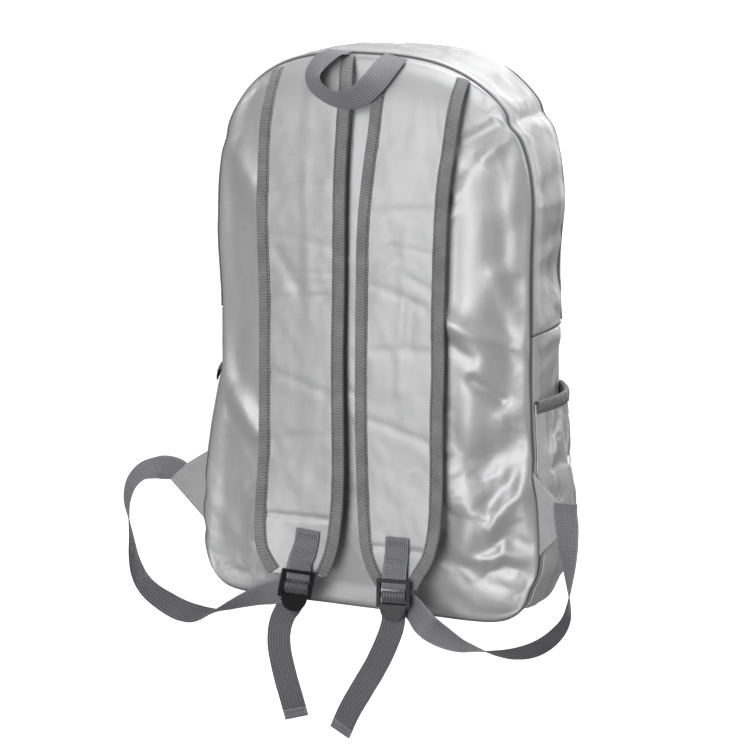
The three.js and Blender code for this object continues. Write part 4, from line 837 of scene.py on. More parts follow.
# side pockets with gathers under an elastic
pocketValues = {
    "top": 270.0, "bulge": {"left": 7.0, "right": 10.0}, "mouthGap": 6.0, "mouthPower": 1.4, "edge": 0.035,
    "rows": 90, "cols": 64, "gathers": 9, "gatherDepth": 1.3, "gatherReach": 0.3, "elastic": 9.0, "above": 2.0,
    "growth": 0.03, "frames": 18, "seed": 41, "turnIn": 1.2, "wall": 0.8, "elasticRows": 60, "elasticWall": 0.6,
    "grain": [(1.1, 6, 4, 31.0), (0.3, 16, 9, 33.0)],
    "creases": [(0.30, 0.15, 0.62, 0.55, 0.05, 1.8), (0.22, 0.5, 0.30, 0.95, 0.05, -1.6),
                (0.55, 0.1, 0.80, 0.45, 0.05, -1.6),
                (0.62, 0.5, 0.85, 0.9, 0.06, 1.6), (0.42, 0.3, 0.5, 0.9, 0.05, 1.1)],
}


def pocketPoints(side, v, rows, cols, fine=True):
    top = shareAtHeight(halves["back"][side], -v["top"])
    foot = baseShare[side] - 0.004
    t = np.linspace(0, 1, rows + 1)
    t = (1 - t) * t ** v["mouthPower"] + t * (1 - (1 - t) ** v["mouthPower"])
    t, share = np.broadcast_arrays(t[:, None], np.linspace(0, 1, cols + 1)[None, :])
    down, deep = top + (foot - top) * t, v["edge"] + (1 - 2 * v["edge"]) * share
    swellDown = np.sin(np.pi * np.minimum(0.15 + 0.8 * t, 1)) ** 0.7
    mouth = v["mouthGap"] * (1 - smoothStep(t, 0, 0.25))
    gather = v["gatherDepth"] * np.sin(2 * np.pi * v["gathers"] * share + 2.0 * np.sin(9 * share))
    gather = gather * smoothStep(t, 0.03, 0.09) * np.maximum(1 - t / v["gatherReach"], 0)
    body = np.maximum(v["bulge"][side] * swellDown, mouth)
    crease = lineFolds(v["creases"], share, -t, 1, 1) if fine else 0
    crumple = sum(h * grain(t * a, share * b, 1, 1, seed) for h, a, b, seed in v["grain"])
    keep = np.sin(np.pi * share) ** 0.6
    lift = (bag["cloth"] + 2 * bag["clear"] + np.sin(np.pi * share) * (body + gather)
            + (crease + crumple) * keep * smoothStep(t, 0.02, 0.12))
    place, out = gussetFrame(side, down, deep)
    rise = np.maximum(gussetWrinkle(down, deep), 0) + lift
    return place + out * rise[..., None], out


def addPocket(side, v):
    grid, out = pocketPoints(side, v, v["rows"], v["cols"])
    grid = settle(grid, edgeWeights(*grid.shape[:2]), v["growth"], v["frames"], v["seed"])
    turned = -out * v["turnIn"]
    inward = {"start": turned[:, :1], "end": turned[:, -1:]}
    inward["last"] = np.concatenate([turned[-1:, :1], turned[-1:], turned[-1:, -1:]], axis=1)
    for edge in ("start", "end", "last"):
        grid = rim(grid, (edge,), inward)
    obj = gridObject(side + "PocketCloth", grid, uvOf(grid), flip=side == "right")
    thicken(obj, v["wall"])
    finishPiece(obj, "cloth", "cloth", "pocket_" + side)
    # elastic folded over the mouth: a soft band with a rounded upper edge
    base, out = pocketPoints(side, v, v["elasticRows"], v["cols"], False)
    first, across = base[0], unit(base[1] - base[0])
    h, a = v["elastic"], v["above"]
    section = [(h - a, 0.9), (h - a - 0.5, 2.1), (h * 0.4, 2.4), (-a * 0.4, 2.3), (-a, 1.7), (-a - 0.4, 0.6),
               (-a, -0.6), (-a * 0.3, -1.1), (1.0, -1.15)]
    ripple = 0.25 * np.sin(np.linspace(0, 2 * np.pi * v["gathers"], len(first)))
    cols = [first + across * d + out[0] * (n + ripple[:, None] * (1 if n > 1 else 0.4)) for d, n in section]
    band = np.stack(cols, axis=1)
    elastic = gridObject(side + "PocketElastic", band, uvOf(band), flip=side == "left")
    thicken(elastic, v["elasticWall"])
    finishPiece(elastic, "elastic", "elastic", "pocket_elastic_" + side)


for side in ("left", "right"):
    addPocket(side, pocketValues)
print("stage: pockets")

# shoulder straps: padding, ribbed edge tape and its stitches
strapValues = {
    "thick": 4.0, "topThick": 1.6, "standOff": 2.4, "steepStandOff": 2.6, "steepReach": 0.14, "reach": 11.0,
    "tape": 0.8, "tapeGap": 0.69, "tipDown": 426.0, "rows": 190, "cols": 28, "stitchEvery": 3.2,
    "flatHalf": 36, "flatLength": 430, "grain": [(0.65, 18, 30, 51.0), (0.3, 8, 13, 53.0)],
}
strapRows = {
    "left": {
        "down": [0, 0.06, 0.12, 0.2, 0.32, 0.45, 0.57, 0.75, 0.84, 0.915, 0.955, 0.98, 1.0],
        "middle": [-0.408, -0.393, -0.395, -0.388, -0.375, -0.353, -0.34, -0.316, -0.313, -0.32, -0.321, -0.313,
                   -0.303],
        "half": [0.246, 0.27, 0.279, 0.279, 0.279, 0.272, 0.269, 0.272, 0.275, 0.26, 0.235, 0.2, 0.165],
        "off": [0, 0, 0, 0, 0, 0, 0.02, 0.13, 0.28, 0.43, 0.53, 0.6, 0.66],
        "tilt": [0, 0, 0, 0, 0, 0, 0, 0, 0.03, 0.12, 0.19, 0.24, 0.28],
    },
    "right": {
        "down": [0, 0.07, 0.13, 0.22, 0.32, 0.42, 0.54, 0.665, 0.79, 0.885, 0.935, 0.975, 1.0],
        "middle": [0.301, 0.29, 0.283, 0.268, 0.261, 0.267, 0.283, 0.294, 0.313, 0.329, 0.327, 0.32, 0.327],
        "half": [0.257, 0.26, 0.26, 0.26, 0.266, 0.266, 0.268, 0.264, 0.26, 0.248, 0.224, 0.168, 0.125],
        "off": [0, 0, 0, 0, 0, 0, 0.02, 0.07, 0.18, 0.36, 0.48, 0.58, 0.66],
        "tilt": [0.0] * 13,
    },
}
# pressed creases in the padding: across from -1 to 1 and down, then width and height in millimetres
padCreases = {
    "left": [(-0.9, 0.24, 0.9, 0.22, 3, -0.7), (-0.8, 0.33, 0.7, 0.36, 4, -0.6),
             (-0.6, 0.47, 0.8, 0.45, 4, -0.7),
             (-0.8, 0.6, 0.6, 0.64, 4, -0.7), (-0.7, 0.74, 0.8, 0.72, 5, -0.7), (0.1, 0.2, 0.2, 0.5, 4, 0.5),
             (-0.9, 0.885, 0.9, 0.885, 2.5, -1.3),
             (-0.9, 0.195, 0.5, 0.195, 1.2, -0.4), (-0.9, 0.207, 0.4, 0.207, 1.2, -0.4),
             (-0.6, 0.36, -0.1, 0.44, 5, -1.0),
             (-0.9, 0.41, 0.9, 0.41, 1.3, -0.45), (-0.8, 0.43, 0.8, 0.43, 1.3, -0.4),
             (-0.8, 0.455, 0.7, 0.455, 1.3, -0.4)],
    "right": [(-0.8, 0.16, 0.9, 0.18, 4, -0.6), (-0.7, 0.29, 0.8, 0.26, 4, -0.7),
              (-0.9, 0.42, 0.6, 0.45, 4, -0.6),
              (-0.6, 0.55, 0.9, 0.53, 4, -0.7), (-0.8, 0.68, 0.7, 0.71, 4, -0.7), (0.1, 0.3, 0.0, 0.62, 4, 0.5),
              (-0.9, 0.925, 0.9, 0.925, 2.5, -1.2),
              (-0.2, 0.345, 0.8, 0.345, 1.5, -0.7), (-0.9, 0.40, -0.2, 0.345, 2, -0.7),
              (-0.9, 0.43, -0.1, 0.375, 3, 0.8),
              (0.2, 0.40, 0.9, 0.42, 4, -0.8), (0.3, 0.05, 0.7, 0.14, 5, -0.8),
              (0.3, 0.45, 0.2, 0.53, 5, -0.9)],
}


def seamHeight(x):
    power = np.where(x < 0, bag["archPowers"]["left"], bag["archPowers"]["right"])
    share = np.minimum(np.abs(x) / bag["halfWidth"], 1)
    return bag["arch"] * ((1 - share ** power) ** (1 / power) - 1)


def strapRead(side, column, share):
    return smoothRead(strapRows[side]["down"], strapRows[side][column], share)


def padPoints(side, share, across):
    v = strapValues
    share, across = np.broadcast_arrays(np.asarray(share, float), np.asarray(across, float))
    middle, half = strapRead(side, "middle", share) * bag["halfWidth"], strapRead(side, "half",
                                                                                  share) * bag["halfWidth"]
    heightAt = lambda x: (seamHeight(x) - bag["seamGap"] - bag["cloth"]) * (1 - share) - v["tipDown"] * share
    x = middle + across * half
    z = heightAt(x)
    below, centre = backY(x, z, False), backY(middle, heightAt(middle), False)
    settled = smoothStep(share, 0, 0.03)
    steep = v["steepStandOff"] * np.sin(np.pi * np.minimum(share / v["steepReach"], 1))
    sewn = bag["cloth"] / 2 + bag["clear"] * 2 + v["tape"] + v["topThick"] / 2
    free = bag["cloth"] / 2 + v["standOff"] + v["thick"] / 2
    y = (np.minimum(below, centre + (below - centre) * 0.55) - (sewn + (free - sewn) * settled) - steep
         - strapRead(side, "off", share) * bag["backBulge"] + strapRead(side, "tilt", share) * across * half)
    return np.stack([x, y, z], axis=-1)


def padThickness(share):
    return strapValues["topThick"] + (strapValues["thick"] - strapValues["topThick"]) * smoothStep(share, 0,
                                                                                                   0.08)


def normalsOf(grid):
    return unit(np.cross(np.gradient(grid, axis=0), np.gradient(grid, axis=1)))


def closeEnds(obj, ends):
    # one face for each list of corners, then all faces turned outward
    bm = bmesh.new()
    bm.from_mesh(obj.data)
    bm.verts.ensure_lookup_table()
    for end in ends:
        bm.faces.new([bm.verts[k] for k in end])
    bmesh.ops.recalc_face_normals(bm, faces=bm.faces)
    bm.to_mesh(obj.data)
    bm.free()


def stitchMesh(name, stitches, width, finish, slot):
    # stitches: list of (start, end, normal); each is a small rounded bar
    bm = bmesh.new()
    for a, b, n in stitches:
        a, b, n = Vector(a), Vector(b), Vector(n).normalized()
        run = b - a
        t = run.normalized()
        side = n.cross(t).normalized()
        rings = []
        for share, size in ((0.0, 0.35), (0.15, 0.9), (0.5, 1.0), (0.85, 0.9), (1.0, 0.35)):
            centre = a + run * share + n * width * 0.25 * (math.sin(math.pi * share))
            ring = [bm.verts.new((centre + side * math.cos(q) * width / 2 * size
                                  + n * math.sin(q) * width * 0.4 * size) * mm)
                    for q in (0, math.pi / 3, 2 * math.pi / 3, math.pi, 3 * math.pi / 2)]
            rings.append(ring)
        for r, s in zip(rings, rings[1:]):
            for k in range(5):
                bm.faces.new((r[k], r[(k + 1) % 5], s[(k + 1) % 5], s[k]))
        bm.faces.new(rings[0][::-1])
        bm.faces.new(rings[-1])
    bmesh.ops.recalc_face_normals(bm, faces=bm.faces)
    mesh = bpy.data.meshes.new(name)
    bm.to_mesh(mesh)
    bm.free()
    mesh.polygons.foreach_set("use_smooth", [True] * len(mesh.polygons))
    return finishPiece(newObject(name, mesh), finish, slot)


def lineStitches(points, normals, every, fill=0.62):
    # stitches along a line of points, with one normal for each or one for all
    points = np.asarray(points, float)
    normals = np.broadcast_to(normals, points.shape)
    run = runLength(points)
    out = []
    at = lambda d, a: np.array([np.interp(d, run, a[:, k]) for k in range(3)])
    for d in np.arange(every * 0.5, run[-1] - every, every):
        out.append((at(d, points), at(d + every * fill, points), at(d + every * fill / 2, normals)))
    return out


# the folded edge tape, in millimetres; dip is the depth, place and reach of the hollow under its stitches
tapeValues = {
    "frontSteps": 8, "foldSteps": 7, "rearSteps": 5, "foldTurn": 80, "foldPlace": 0.4, "foldOut": 1.1,
    "overlap": 0.6, "dip": (0.35, 1.6, 1.1), "wave": 0.25, "wavesAlong": 40, "waveSeed": 7.7, "innerWave": 0.4,
    "sunk": 0.12, "wall": 0.85, "stitchIn": 1.6, "stitchUp": 0.45, "stitchWidth": 0.55,
}


def addStrap(side, v, b):
    share = 1 - (1 - np.linspace(0, 1, v["rows"] + 1)) ** 1.15
    across = np.linspace(-1, 1, v["cols"] + 1)
    middle = padPoints(side, share[:, None], across[None, :])
    n = normalsOf(middle)
    if np.mean(n[..., 1]) > 0:
        n = -n
    a, s = np.broadcast_arrays(across[None, :], share[:, None])
    half = padThickness(s) / 2
    crown = half * (0.62 + 0.38 * (1 - np.abs(a) ** 6))
    x, down = a * v["flatHalf"], s * v["flatLength"]
    crease = lineFolds(padCreases[side], x, -down, v["flatHalf"], v["flatLength"])
    calm = smoothStep(s, 0.0, 0.1) * (1 - np.abs(a) ** 8)
    front = middle + n * (crown + (crease + grains(v["grain"], x, down)) * calm)[..., None]
    rear = middle - n * (crown * 0.9)[..., None]
    loop = np.concatenate([front, rear[:, ::-1]], axis=1)
    uv = np.stack([np.concatenate([a, a[:, ::-1] + 2.2], axis=1) * v["flatHalf"],
                   np.concatenate([s, s], axis=1) * v["flatLength"]], axis=-1)
    uv = np.concatenate([uv, uv[:, -1:] + 0.1], axis=1)
    pad = gridObject("strapPad" + side.capitalize(), loop, uv, closed=True)
    count, cols = loop.shape[:2]
    closeEnds(pad, [[row * cols + k for k in (j, j + 1, cols - 2 - j, cols - 1 - j)]
                    for row in (0, count - 1) for j in range(v["cols"])])
    pad.data.polygons.foreach_set("use_smooth", [True] * len(pad.data.polygons))
    finishPiece(pad, "padCloth", "cloth", "strap_pad_" + side)
    # edge tape folded round both long edges, with its row of stitches
    wrap, t = v["tapeGap"] + v["tape"], v["tape"]
    wrap, t = v["tapeGap"] + v["tape"], v["tape"]
    depth, inset, reach = b["dip"]
    stitches = []
    for edge, sign in (("Outer", -1 if side == "left" else 1), ("Inner", 1 if side == "left" else -1)):
        col, beside = (0, 1) if sign < 0 else (-1, -2)
        place = middle[:, col]
        run = unit(np.gradient(place, axis=0))
        inward = middle[:, beside] - place
        inward = unit(inward - run * np.sum(inward * run, axis=1, keepdims=True))
        out = np.cross(run, inward)
        out *= np.sign(np.mean(out[:, 1])) * -1
        h = padThickness(share) / 2 + wrap - t
        w = v["reach"] - wrap
        wave = b["wave"] * np.array([noise.noise(Vector((q * b["wavesAlong"], sign, b["waveSeed"])))
                                     for q in share])
        rows = []
        for q in np.linspace(0, 1, b["frontSteps"]):
            d = w + (-(wrap - t) + b["overlap"] - w) * q
            dip = depth * np.exp(-((d - w + inset) / reach) ** 2)
            rows.append(place + inward * (d + wave * (1 if q == 0 else b["innerWave"]))[:, None]
                        + out * (h - dip - b["sunk"] * (q == 0))[:, None])
        for angle in np.radians(np.linspace(b["foldTurn"], -b["foldTurn"], b["foldSteps"])):
            rows.append(place - inward * ((wrap - t) * b["foldPlace"] + math.cos(angle) * t * b["foldOut"])
                        + out * (h * math.sin(angle))[:, None])
        for q in np.linspace(0, 1, b["rearSteps"]):
            d = (-(wrap - t) + b["overlap"]) + (w + (wrap - t) - b["overlap"]) * q
            rows.append(place + inward * d - out * h[:, None])
        band = np.stack(rows, axis=1)
        obj = gridObject("strapBinding" + side.capitalize() + edge, band, uvOf(band), flip=(sign < 0))
        thicken(obj, t * b["wall"], 1.0)
        finishPiece(obj, "binding", "edge_tape", f"strap_binding_{side}_{edge.lower()}")
        seam = place + inward * (w - b["stitchIn"]) + out * (h + b["stitchUp"])[:, None]
        stitches += lineStitches(seam, out, v["stitchEvery"])
    stitchMesh("strapStitches" + side.capitalize(), stitches, b["stitchWidth"], "darkThread", "edge_tape")


for side in ("left", "right"):
    addStrap(side, strapValues, tapeValues)
print("stage: straps")

# buckles: the solids' shape with softened edges
def addBuckle(side):
    source = nodes["buckle_" + side]
    mesh = source.data.copy()
    mesh.transform(source.matrix_world)
    obj = newObject("ladderBuckle" + side.capitalize(), mesh)
    bm = bmesh.new()
    bm.from_mesh(mesh)
    bmesh.ops.remove_doubles(bm, verts=bm.verts, dist=0.00002)
    bmesh.ops.dissolve_limit(bm, angle_limit=math.radians(4), verts=bm.verts, edges=bm.edges)
    bm.to_mesh(mesh)
    bm.free()
    soft = obj.modifiers.new("edges", "BEVEL")
    soft.width, soft.segments, soft.limit_method, soft.angle_limit = 0.35 * mm, 2, "ANGLE", math.radians(32)
    mesh.polygons.foreach_set("use_smooth", [True] * len(mesh.polygons))
    even = obj.modifiers.new("even", "WEIGHTED_NORMAL")
    even.keep_sharp = True
    finishPiece(obj, "plastic", "buckle_plastic", "buckle_" + side)


for side in ("left", "right"):
    addBuckle(side)
print("stage: buckles")

# flat webbing: the adjusting straps, the buckles' short pieces, the tabs and the carrying loop
webbingValues = {
    "tabTuck": 0.6, "patchRows": (2.0, 5.0, 17.0, 20.0), "patchHalf": 0.42, "patchStitch": 2.2,
    "width": 20.0, "thick": 1.0, "hem": 8.0, "hemThick": 2.4, "tail": 100.0, "anchorReach": 46.0, "tab": 1.2,
    "barBack": 2.2, "strapOut": 38.0, "tabLevel": -0.1, "perRow": 9,
    "sewingBar": (5.9, 7.6, -2.0, -0.5), "ladderBar": (-1.9, 0.7, -2.2, 0.3),
    "bottomBar": (-10.2, -7.6, -1.8, 2.6),
    "buckles": {"left": (-0.287, 0.953, 30, 8, 2.5), "right": (0.332, 0.948, 8, -1, 1.4)},
}
loopRows = {
    "left": [
        (-1.3, 0.786, -0.045, 8), (-1.36, 0.788, 0.0, 30), (-1.44, 0.796, 0.08, 40), (-1.5, 0.818, 0.16, 42),
        (-1.52, 0.85, 0.22, 49), (-1.5, 0.881, 0.27, 62), (-1.47, 0.916, 0.33, 74), (-1.44, 0.952, 0.4, 88),
        (-1.39, 0.985, 0.46, 103), (-1.31, 1.008, 0.53, 118), (-1.2, 1.024, 0.6, 130),
        (-1.09, 1.035, 0.66, 136),
        (-0.99, 1.038, 0.72, 128), (-0.9, 1.034, 0.77, 106), (-0.81, 1.024, 0.83, 80), (-0.69, 1.006, 0.91, 60),
        (-0.56, 0.987, 1.02, 38),
    ],
    "right": [
        (1.3, 0.805, 0.09, 4), (1.325, 0.848, 0.18, 25), (1.345, 0.9, 0.26, 56), (1.356, 0.941, 0.34, 82),
        (1.35, 0.966, 0.4, 100), (1.315, 0.988, 0.46, 118), (1.25, 1.01, 0.52, 129), (1.16, 1.027, 0.58, 134),
        (1.05, 1.036, 0.64, 128), (0.95, 1.037, 0.7, 116), (0.86, 1.034, 0.76, 100), (0.75, 1.029, 0.83, 76),
        (0.64, 1.014, 0.95, 48), (0.55, 0.995, 1.08, 22),
    ],
}
leadRows = {
    "left": [(-0.62, -0.42, -0.33), (-0.26, -0.26, -0.27), (-0.06, -0.14, -0.225)],
    "right": [(0.66, -0.52, -0.36), (0.3, -0.31, -0.29), (0.07, -0.15, -0.23)],
}
tailRows = {
    "left": [(0.08, -0.05, 0.01, 180), (0.2, -0.09, 0.02, 178), (0.36, -0.09, 0.03, 176),
             (0.6, -0.03, 0.03, 172),
             (0.8, 0.035, 0.02, 170), (0.96, 0.08, 0.0, 170)],
    "right": [(0.1, 0.0, 0.01, 180), (0.25, -0.04, 0.02, 180), (0.45, -0.12, 0.03, 184),
              (0.66, -0.23, 0.03, 186),
              (0.87, -0.34, 0.02, 188), (1.06, -0.42, 0.0, 188)],
}
tabRows = {
    "left": {"top": 0.742, "foot": 0.87, "tipTop": (-1.155, 0.773), "tipFoot": (-1.262, 0.805)},
    "right": {"top": 0.715, "foot": 0.866, "tipTop": (1.235, 0.765), "tipFoot": (1.255, 0.826)},
}
carryRows = [
    (-0.51, -0.02, 0.05, 1, 0, 0), (-0.52, -0.015, 0.22, 1, -0.05, -0.05),
    (-0.58, 0.05, 0.43, 0.98, -0.15, 0.05),
    (-0.68, 0.24, 0.6, 0.95, -0.3, 0.05), (-0.72, 0.45, 0.73, 0.88, -0.42, 0.15),
    (-0.67, 0.68, 0.85, 0.7, -0.58, 0.38),
    (-0.51, 0.89, 0.94, 0.35, -0.68, 0.6), (-0.28, 0.98, 1.0, -0.05, -0.66, 0.74),
    (-0.07, 0.87, 0.98, -0.38, -0.5, 0.77),
    (0.08, 0.6, 0.88, -0.68, -0.3, 0.68), (0.17, 0.31, 0.64, -0.85, -0.1, 0.5),
    (0.22, 0.11, 0.38, -0.95, 0, 0.28),
    (0.24, 0.02, 0.205, -1, 0, 0.15),
]
carryValues = {"spread": 65.0, "hang": 37.0, "out": 36.0}


def curveThrough(points, perRow):
    # centripetal curve through the rows, like the solids' own
    points = np.asarray(points, float)
    p = np.concatenate([[2 * points[0] - points[1]], points, [2 * points[-1] - points[-2]]])
    out = []
    for i in range(1, len(p) - 2):
        a, b, c, d = p[i - 1:i + 3]
        t0, t1 = 0.0, max(np.linalg.norm(b - a) ** 0.5, 1e-4)
        t2 = t1 + max(np.linalg.norm(c - b) ** 0.5, 1e-4)
        t3 = t2 + max(np.linalg.norm(d - c) ** 0.5, 1e-4)
        for t in np.linspace(t1, t2, perRow, endpoint=False):
            a1 = (t1 - t) / (t1 - t0) * a + (t - t0) / (t1 - t0) * b
            a2 = (t2 - t) / (t2 - t1) * b + (t - t1) / (t2 - t1) * c
            a3 = (t3 - t) / (t3 - t2) * c + (t - t2) / (t3 - t2) * d
            b1 = (t2 - t) / (t2 - t0) * a1 + (t - t0) / (t2 - t0) * a2
            b2 = (t3 - t) / (t3 - t1) * a2 + (t - t1) / (t3 - t1) * a3
            out.append((t2 - t) / (t2 - t1) * b1 + (t - t1) / (t2 - t1) * b2)
    out.append(p[-2])
    return np.array(out)


def buckleAxes(side):
    across, down, yaw, lean, lift = webbingValues["buckles"][side]
    tip = padPoints(side, 1.0, 0.0)
    v = webbingValues
    off = strapValues["thick"] / 2 + bag["clear"] * 3 + v["thick"] * 2 + v["barBack"] + lift
    facing = Matrix(((1, 0, 0), (0, 0, -1), (0, 1, 0))).to_4x4()
    m = Matrix.Rotation(math.radians(yaw), 4, "Z") @ Matrix.Rotation(math.radians(lean), 4, "Y") @ facing
    m.translation = Vector((across * bag["halfWidth"], float(tip[1]) - off, -down * bag["height"]))
    return m


def inFrame(m, *p):
    return np.array(m @ Vector(p))


# half of a band's section, from edge to edge: share of the width, then share of the thickness
bandSection = [(-1, 0.0), (-0.97, 0.62), (-0.9, 0.95), (-0.6, 1.0), (-0.3, 1.0), (0, 1.0), (0.3, 1.0),
               (0.6, 1.0),
               (0.9, 0.95), (0.97, 0.62), (1, 0.0)]


def ribbon(name, places, across, width, thick, finish, slot, node, hem=None, ribFace="front"):
    # a flat band with rounded edges; hem is the length of its folded end
    # u is moved by 100 mm where the band shows its grid weave instead of its ribs
    run = unit(np.gradient(places, axis=0))
    across = unit(across - run * np.sum(across * run, axis=1, keepdims=True))
    normal = np.cross(across, run)
    length = runLength(places)
    thickness = np.full(len(places), thick)
    if hem:
        thickness = np.where(length > length[-1] - hem, webbingValues["hemThick"], thick)
    section = bandSection + [(a, -n) for a, n in bandSection[-2:0:-1]]
    edge = np.array([1 - 0.012 * noise.noise(Vector((s * 0.15, 3.3, width))) for s in length])
    grid = np.stack([places + across * (a * (width / 2) * edge)[:, None] + normal * (n * thickness / 2)[:, None]
                     for a, n in section], axis=1)
    u = np.array([a * width / 2 for a, n in section + section[:1]])
    upper = np.array([k < len(bandSection) for k in range(len(section))] + [False])
    gridded = (upper[None, :] != (normal[-1][1] < 0)) & (ribFace == "front") | (ribFace == "none")
    if hem:
        gridded = gridded | (length[:, None] > length[-1] - hem)
    uv = np.stack(np.broadcast_arrays(u[None, :], length[:, None]), axis=-1).copy()
    uv[..., 0] += 100.0 * gridded
    obj = gridObject(name, grid, uv, closed=True)
    n = len(section)
    closeEnds(obj, [range(row * n, row * n + n) for row in (0, len(places) - 1)])
    obj.data.polygons.foreach_set("use_smooth", [len(p.vertices) == 4 for p in obj.data.polygons])
    finishPiece(obj, finish, slot, node)
    return places, across, normal, length


def tabPlaces(side):
    row, sign = tabRows[side], (1 if side == "right" else -1)
    line = halves["back"][side]

    def seam(share):
        down = row["top"] + (row["foot"] - row["top"]) * share
        x, z = along(line, shareAtHeight(line, -down * bag["height"]))
        return np.array([x - sign * webbingValues["tabTuck"], webbingValues["tabLevel"], z])

    tip = lambda p: np.array([p[0] * bag["halfWidth"], webbingValues["tabLevel"], -p[1] * bag["height"]])
    return seam, tip(row["tipTop"]), tip(row["tipFoot"])


tabValues = {
    "steps": (14, 18), "wave": [(0.5, 12, 12, 61.0)], "wall": 1.1, "edgeInsets": (1.5, 3.4),
    "tipInsets": (1.6, 9.0),
    "stitchLift": (0.0, -0.75, 0.0), "stitchEvery": 3.0,
}


def addTab(side, v):
    seam, tipTop, tipFoot = tabPlaces(side)
    rows, cols = v["steps"]
    grid = np.array([[seam(j / cols) * (1 - i / rows) + (tipTop + (tipFoot - tipTop) * j / cols) * i / rows
                      for j in range(cols + 1)] for i in range(rows + 1)])
    free = np.linspace(0, 1, rows + 1)
    grid[..., 1] += grains(v["wave"], grid[..., 0], grid[..., 2]) * (free * (1 - free) * 4)[:, None]
    obj = gridObject(side + "StrapTab", grid, np.stack([grid[..., 0], grid[..., 2]], axis=-1))
    thicken(obj, v["wall"], 0.0)
    finishPiece(obj, "tabCloth", "cloth", "strap_tab_" + side)
    # two rows of stitches along both edges, one at its tip and one beside the seam
    rowsOf = [edge + unit(grid[:, cols // 2] - edge) * inset
              for inset in v["edgeInsets"] for edge in (grid[:, 0], grid[:, -1])]
    tipLine = np.array([tipTop + (tipFoot - tipTop) * q for q in np.linspace(0.05, 0.95, 8)])
    inward = unit(seam(0.5) - (tipTop + tipFoot) / 2)
    rowsOf += [tipLine + inward * inset for inset in v["tipInsets"]]
    stitches = []
    for row in rowsOf:
        stitches += lineStitches(row + np.array(v["stitchLift"]), (0.0, -1.0, 0.0), v["stitchEvery"])
    stitchMesh(side + "TabStitches", stitches, 0.5, "thread", "cloth")


def addWebbing(side, v):
    frameAxes = buckleAxes(side)
    tipTop, tipFoot = tabPlaces(side)[1:]
    over = v["tab"] / 2 + bag["clear"] + v["thick"] / 2
    places, turns = [], []

    def put(place, turn=None, across=None):
        places.append(np.asarray(place, float))
        turns.append((turn, across))

    if side == "right":
        start = tipTop + np.array([v["width"] * 0.3, -over, 0])
        put(start, 0)
        put(start + np.array([0.5, -0.3, -8]), 0)
    else:
        middle = (tipTop + tipFoot) / 2
        put(middle + np.array([7, over + bag["clear"], -5]), 0)
        put(middle + np.array([0, over + bag["clear"], 0]), 0)
        put(middle + np.array([-6, over + bag["clear"], 1.5]), 0)
    for across, down, out, turn in loopRows[side]:
        put((across * bag["halfWidth"], -out * v["strapOut"], -down * bag["height"]), turn)
    for a, u, o in leadRows[side]:
        put(inFrame(frameAxes, a * v["width"], u * v["width"], o * v["width"]), 0)
    low, high, back, front = v["ladderBar"]
    off = v["thick"] / 2 + bag["clear"]
    under = v["bottomBar"][2] - off - 0.2
    bend = [
        (low + 0.2, back - off - 1.1), (high + off * 0.7, back - off * 0.7),
        (high + off + 0.4, (back + front) / 2),
        (high + off * 0.6, front + off * 0.8), ((low + high) / 2, front + off + 0.6),
        (low - off * 0.9, front + off * 0.8),
        (low - off - 1.4, -0.6), (low - off - 2.8, -1.9), (v["bottomBar"][1], under),
        (v["bottomBar"][0] - 0.8, under), (v["bottomBar"][0] - 4.8, under - 0.1),
    ]
    width = np.array(frameAxes.to_3x3() @ Vector((-1, 0, 0)))
    for up, out in bend:
        put(inFrame(frameAxes, 0, up, out), None, width)
    foot = places[-1]
    for down, across, out, turn in tailRows[side]:
        put(foot + np.array([across, -out, -down]) * v["tail"], turn)
    across = []
    for i, (turn, given) in enumerate(turns):
        if given is not None:
            across.append(given)
            continue
        run = unit(places[min(i + 1, len(places) - 1)] - places[max(i - 1, 0)])
        flat = unit(np.cross(run, (0, 1, 0)))
        out = unit(np.cross(run, flat))
        across.append(flat * math.cos(math.radians(turn)) + out * math.sin(math.radians(turn)))
    line, wide = curveThrough(places, v["perRow"]), curveThrough(across, v["perRow"])
    line, wide, normal, length = ribbon("adjustingWebbing" + side.capitalize(), line, wide, v["width"],
                                        v["thick"],
                                        "webbing", "webbing", "webbing_" + side, hem=v["hem"])
    # stitches across the folded end
    k = int(np.searchsorted(length, length[-1] - v["hem"] + 1.6))
    rows = []
    for face in (-1, 1):
        q = np.linspace(-0.46, 0.46, 12)[:, None] * v["width"]
        lineAt = line[k] + wide[k] * q + normal[k] * face * (v["hemThick"] / 2 + 0.05)
        rows += lineStitches(lineAt, normal[k] * face, 2.4)
    stitchMesh("tailStitches" + side.capitalize(), rows, 0.5, "darkThread", "webbing")


def padSeat(side, point, lift):
    v = strapValues
    top = float(seamHeight(point[0])) - bag["seamGap"] - bag["cloth"]
    share = min(max((top - point[2]) / (top + v["tipDown"]), 0), 1)
    middle, half = (float(strapRead(side, k, share)) * bag["halfWidth"] for k in ("middle", "half"))
    at = min(max((point[0] - middle) / half, -0.5), 0.5)
    across = unit(padPoints(side, share, at + 0.4) - padPoints(side, share, at - 0.4))
    up = unit(padPoints(side, share - 0.02, at) - padPoints(side, share, at))
    return padPoints(side, share, at) - unit(np.cross(up, across)) * lift, across


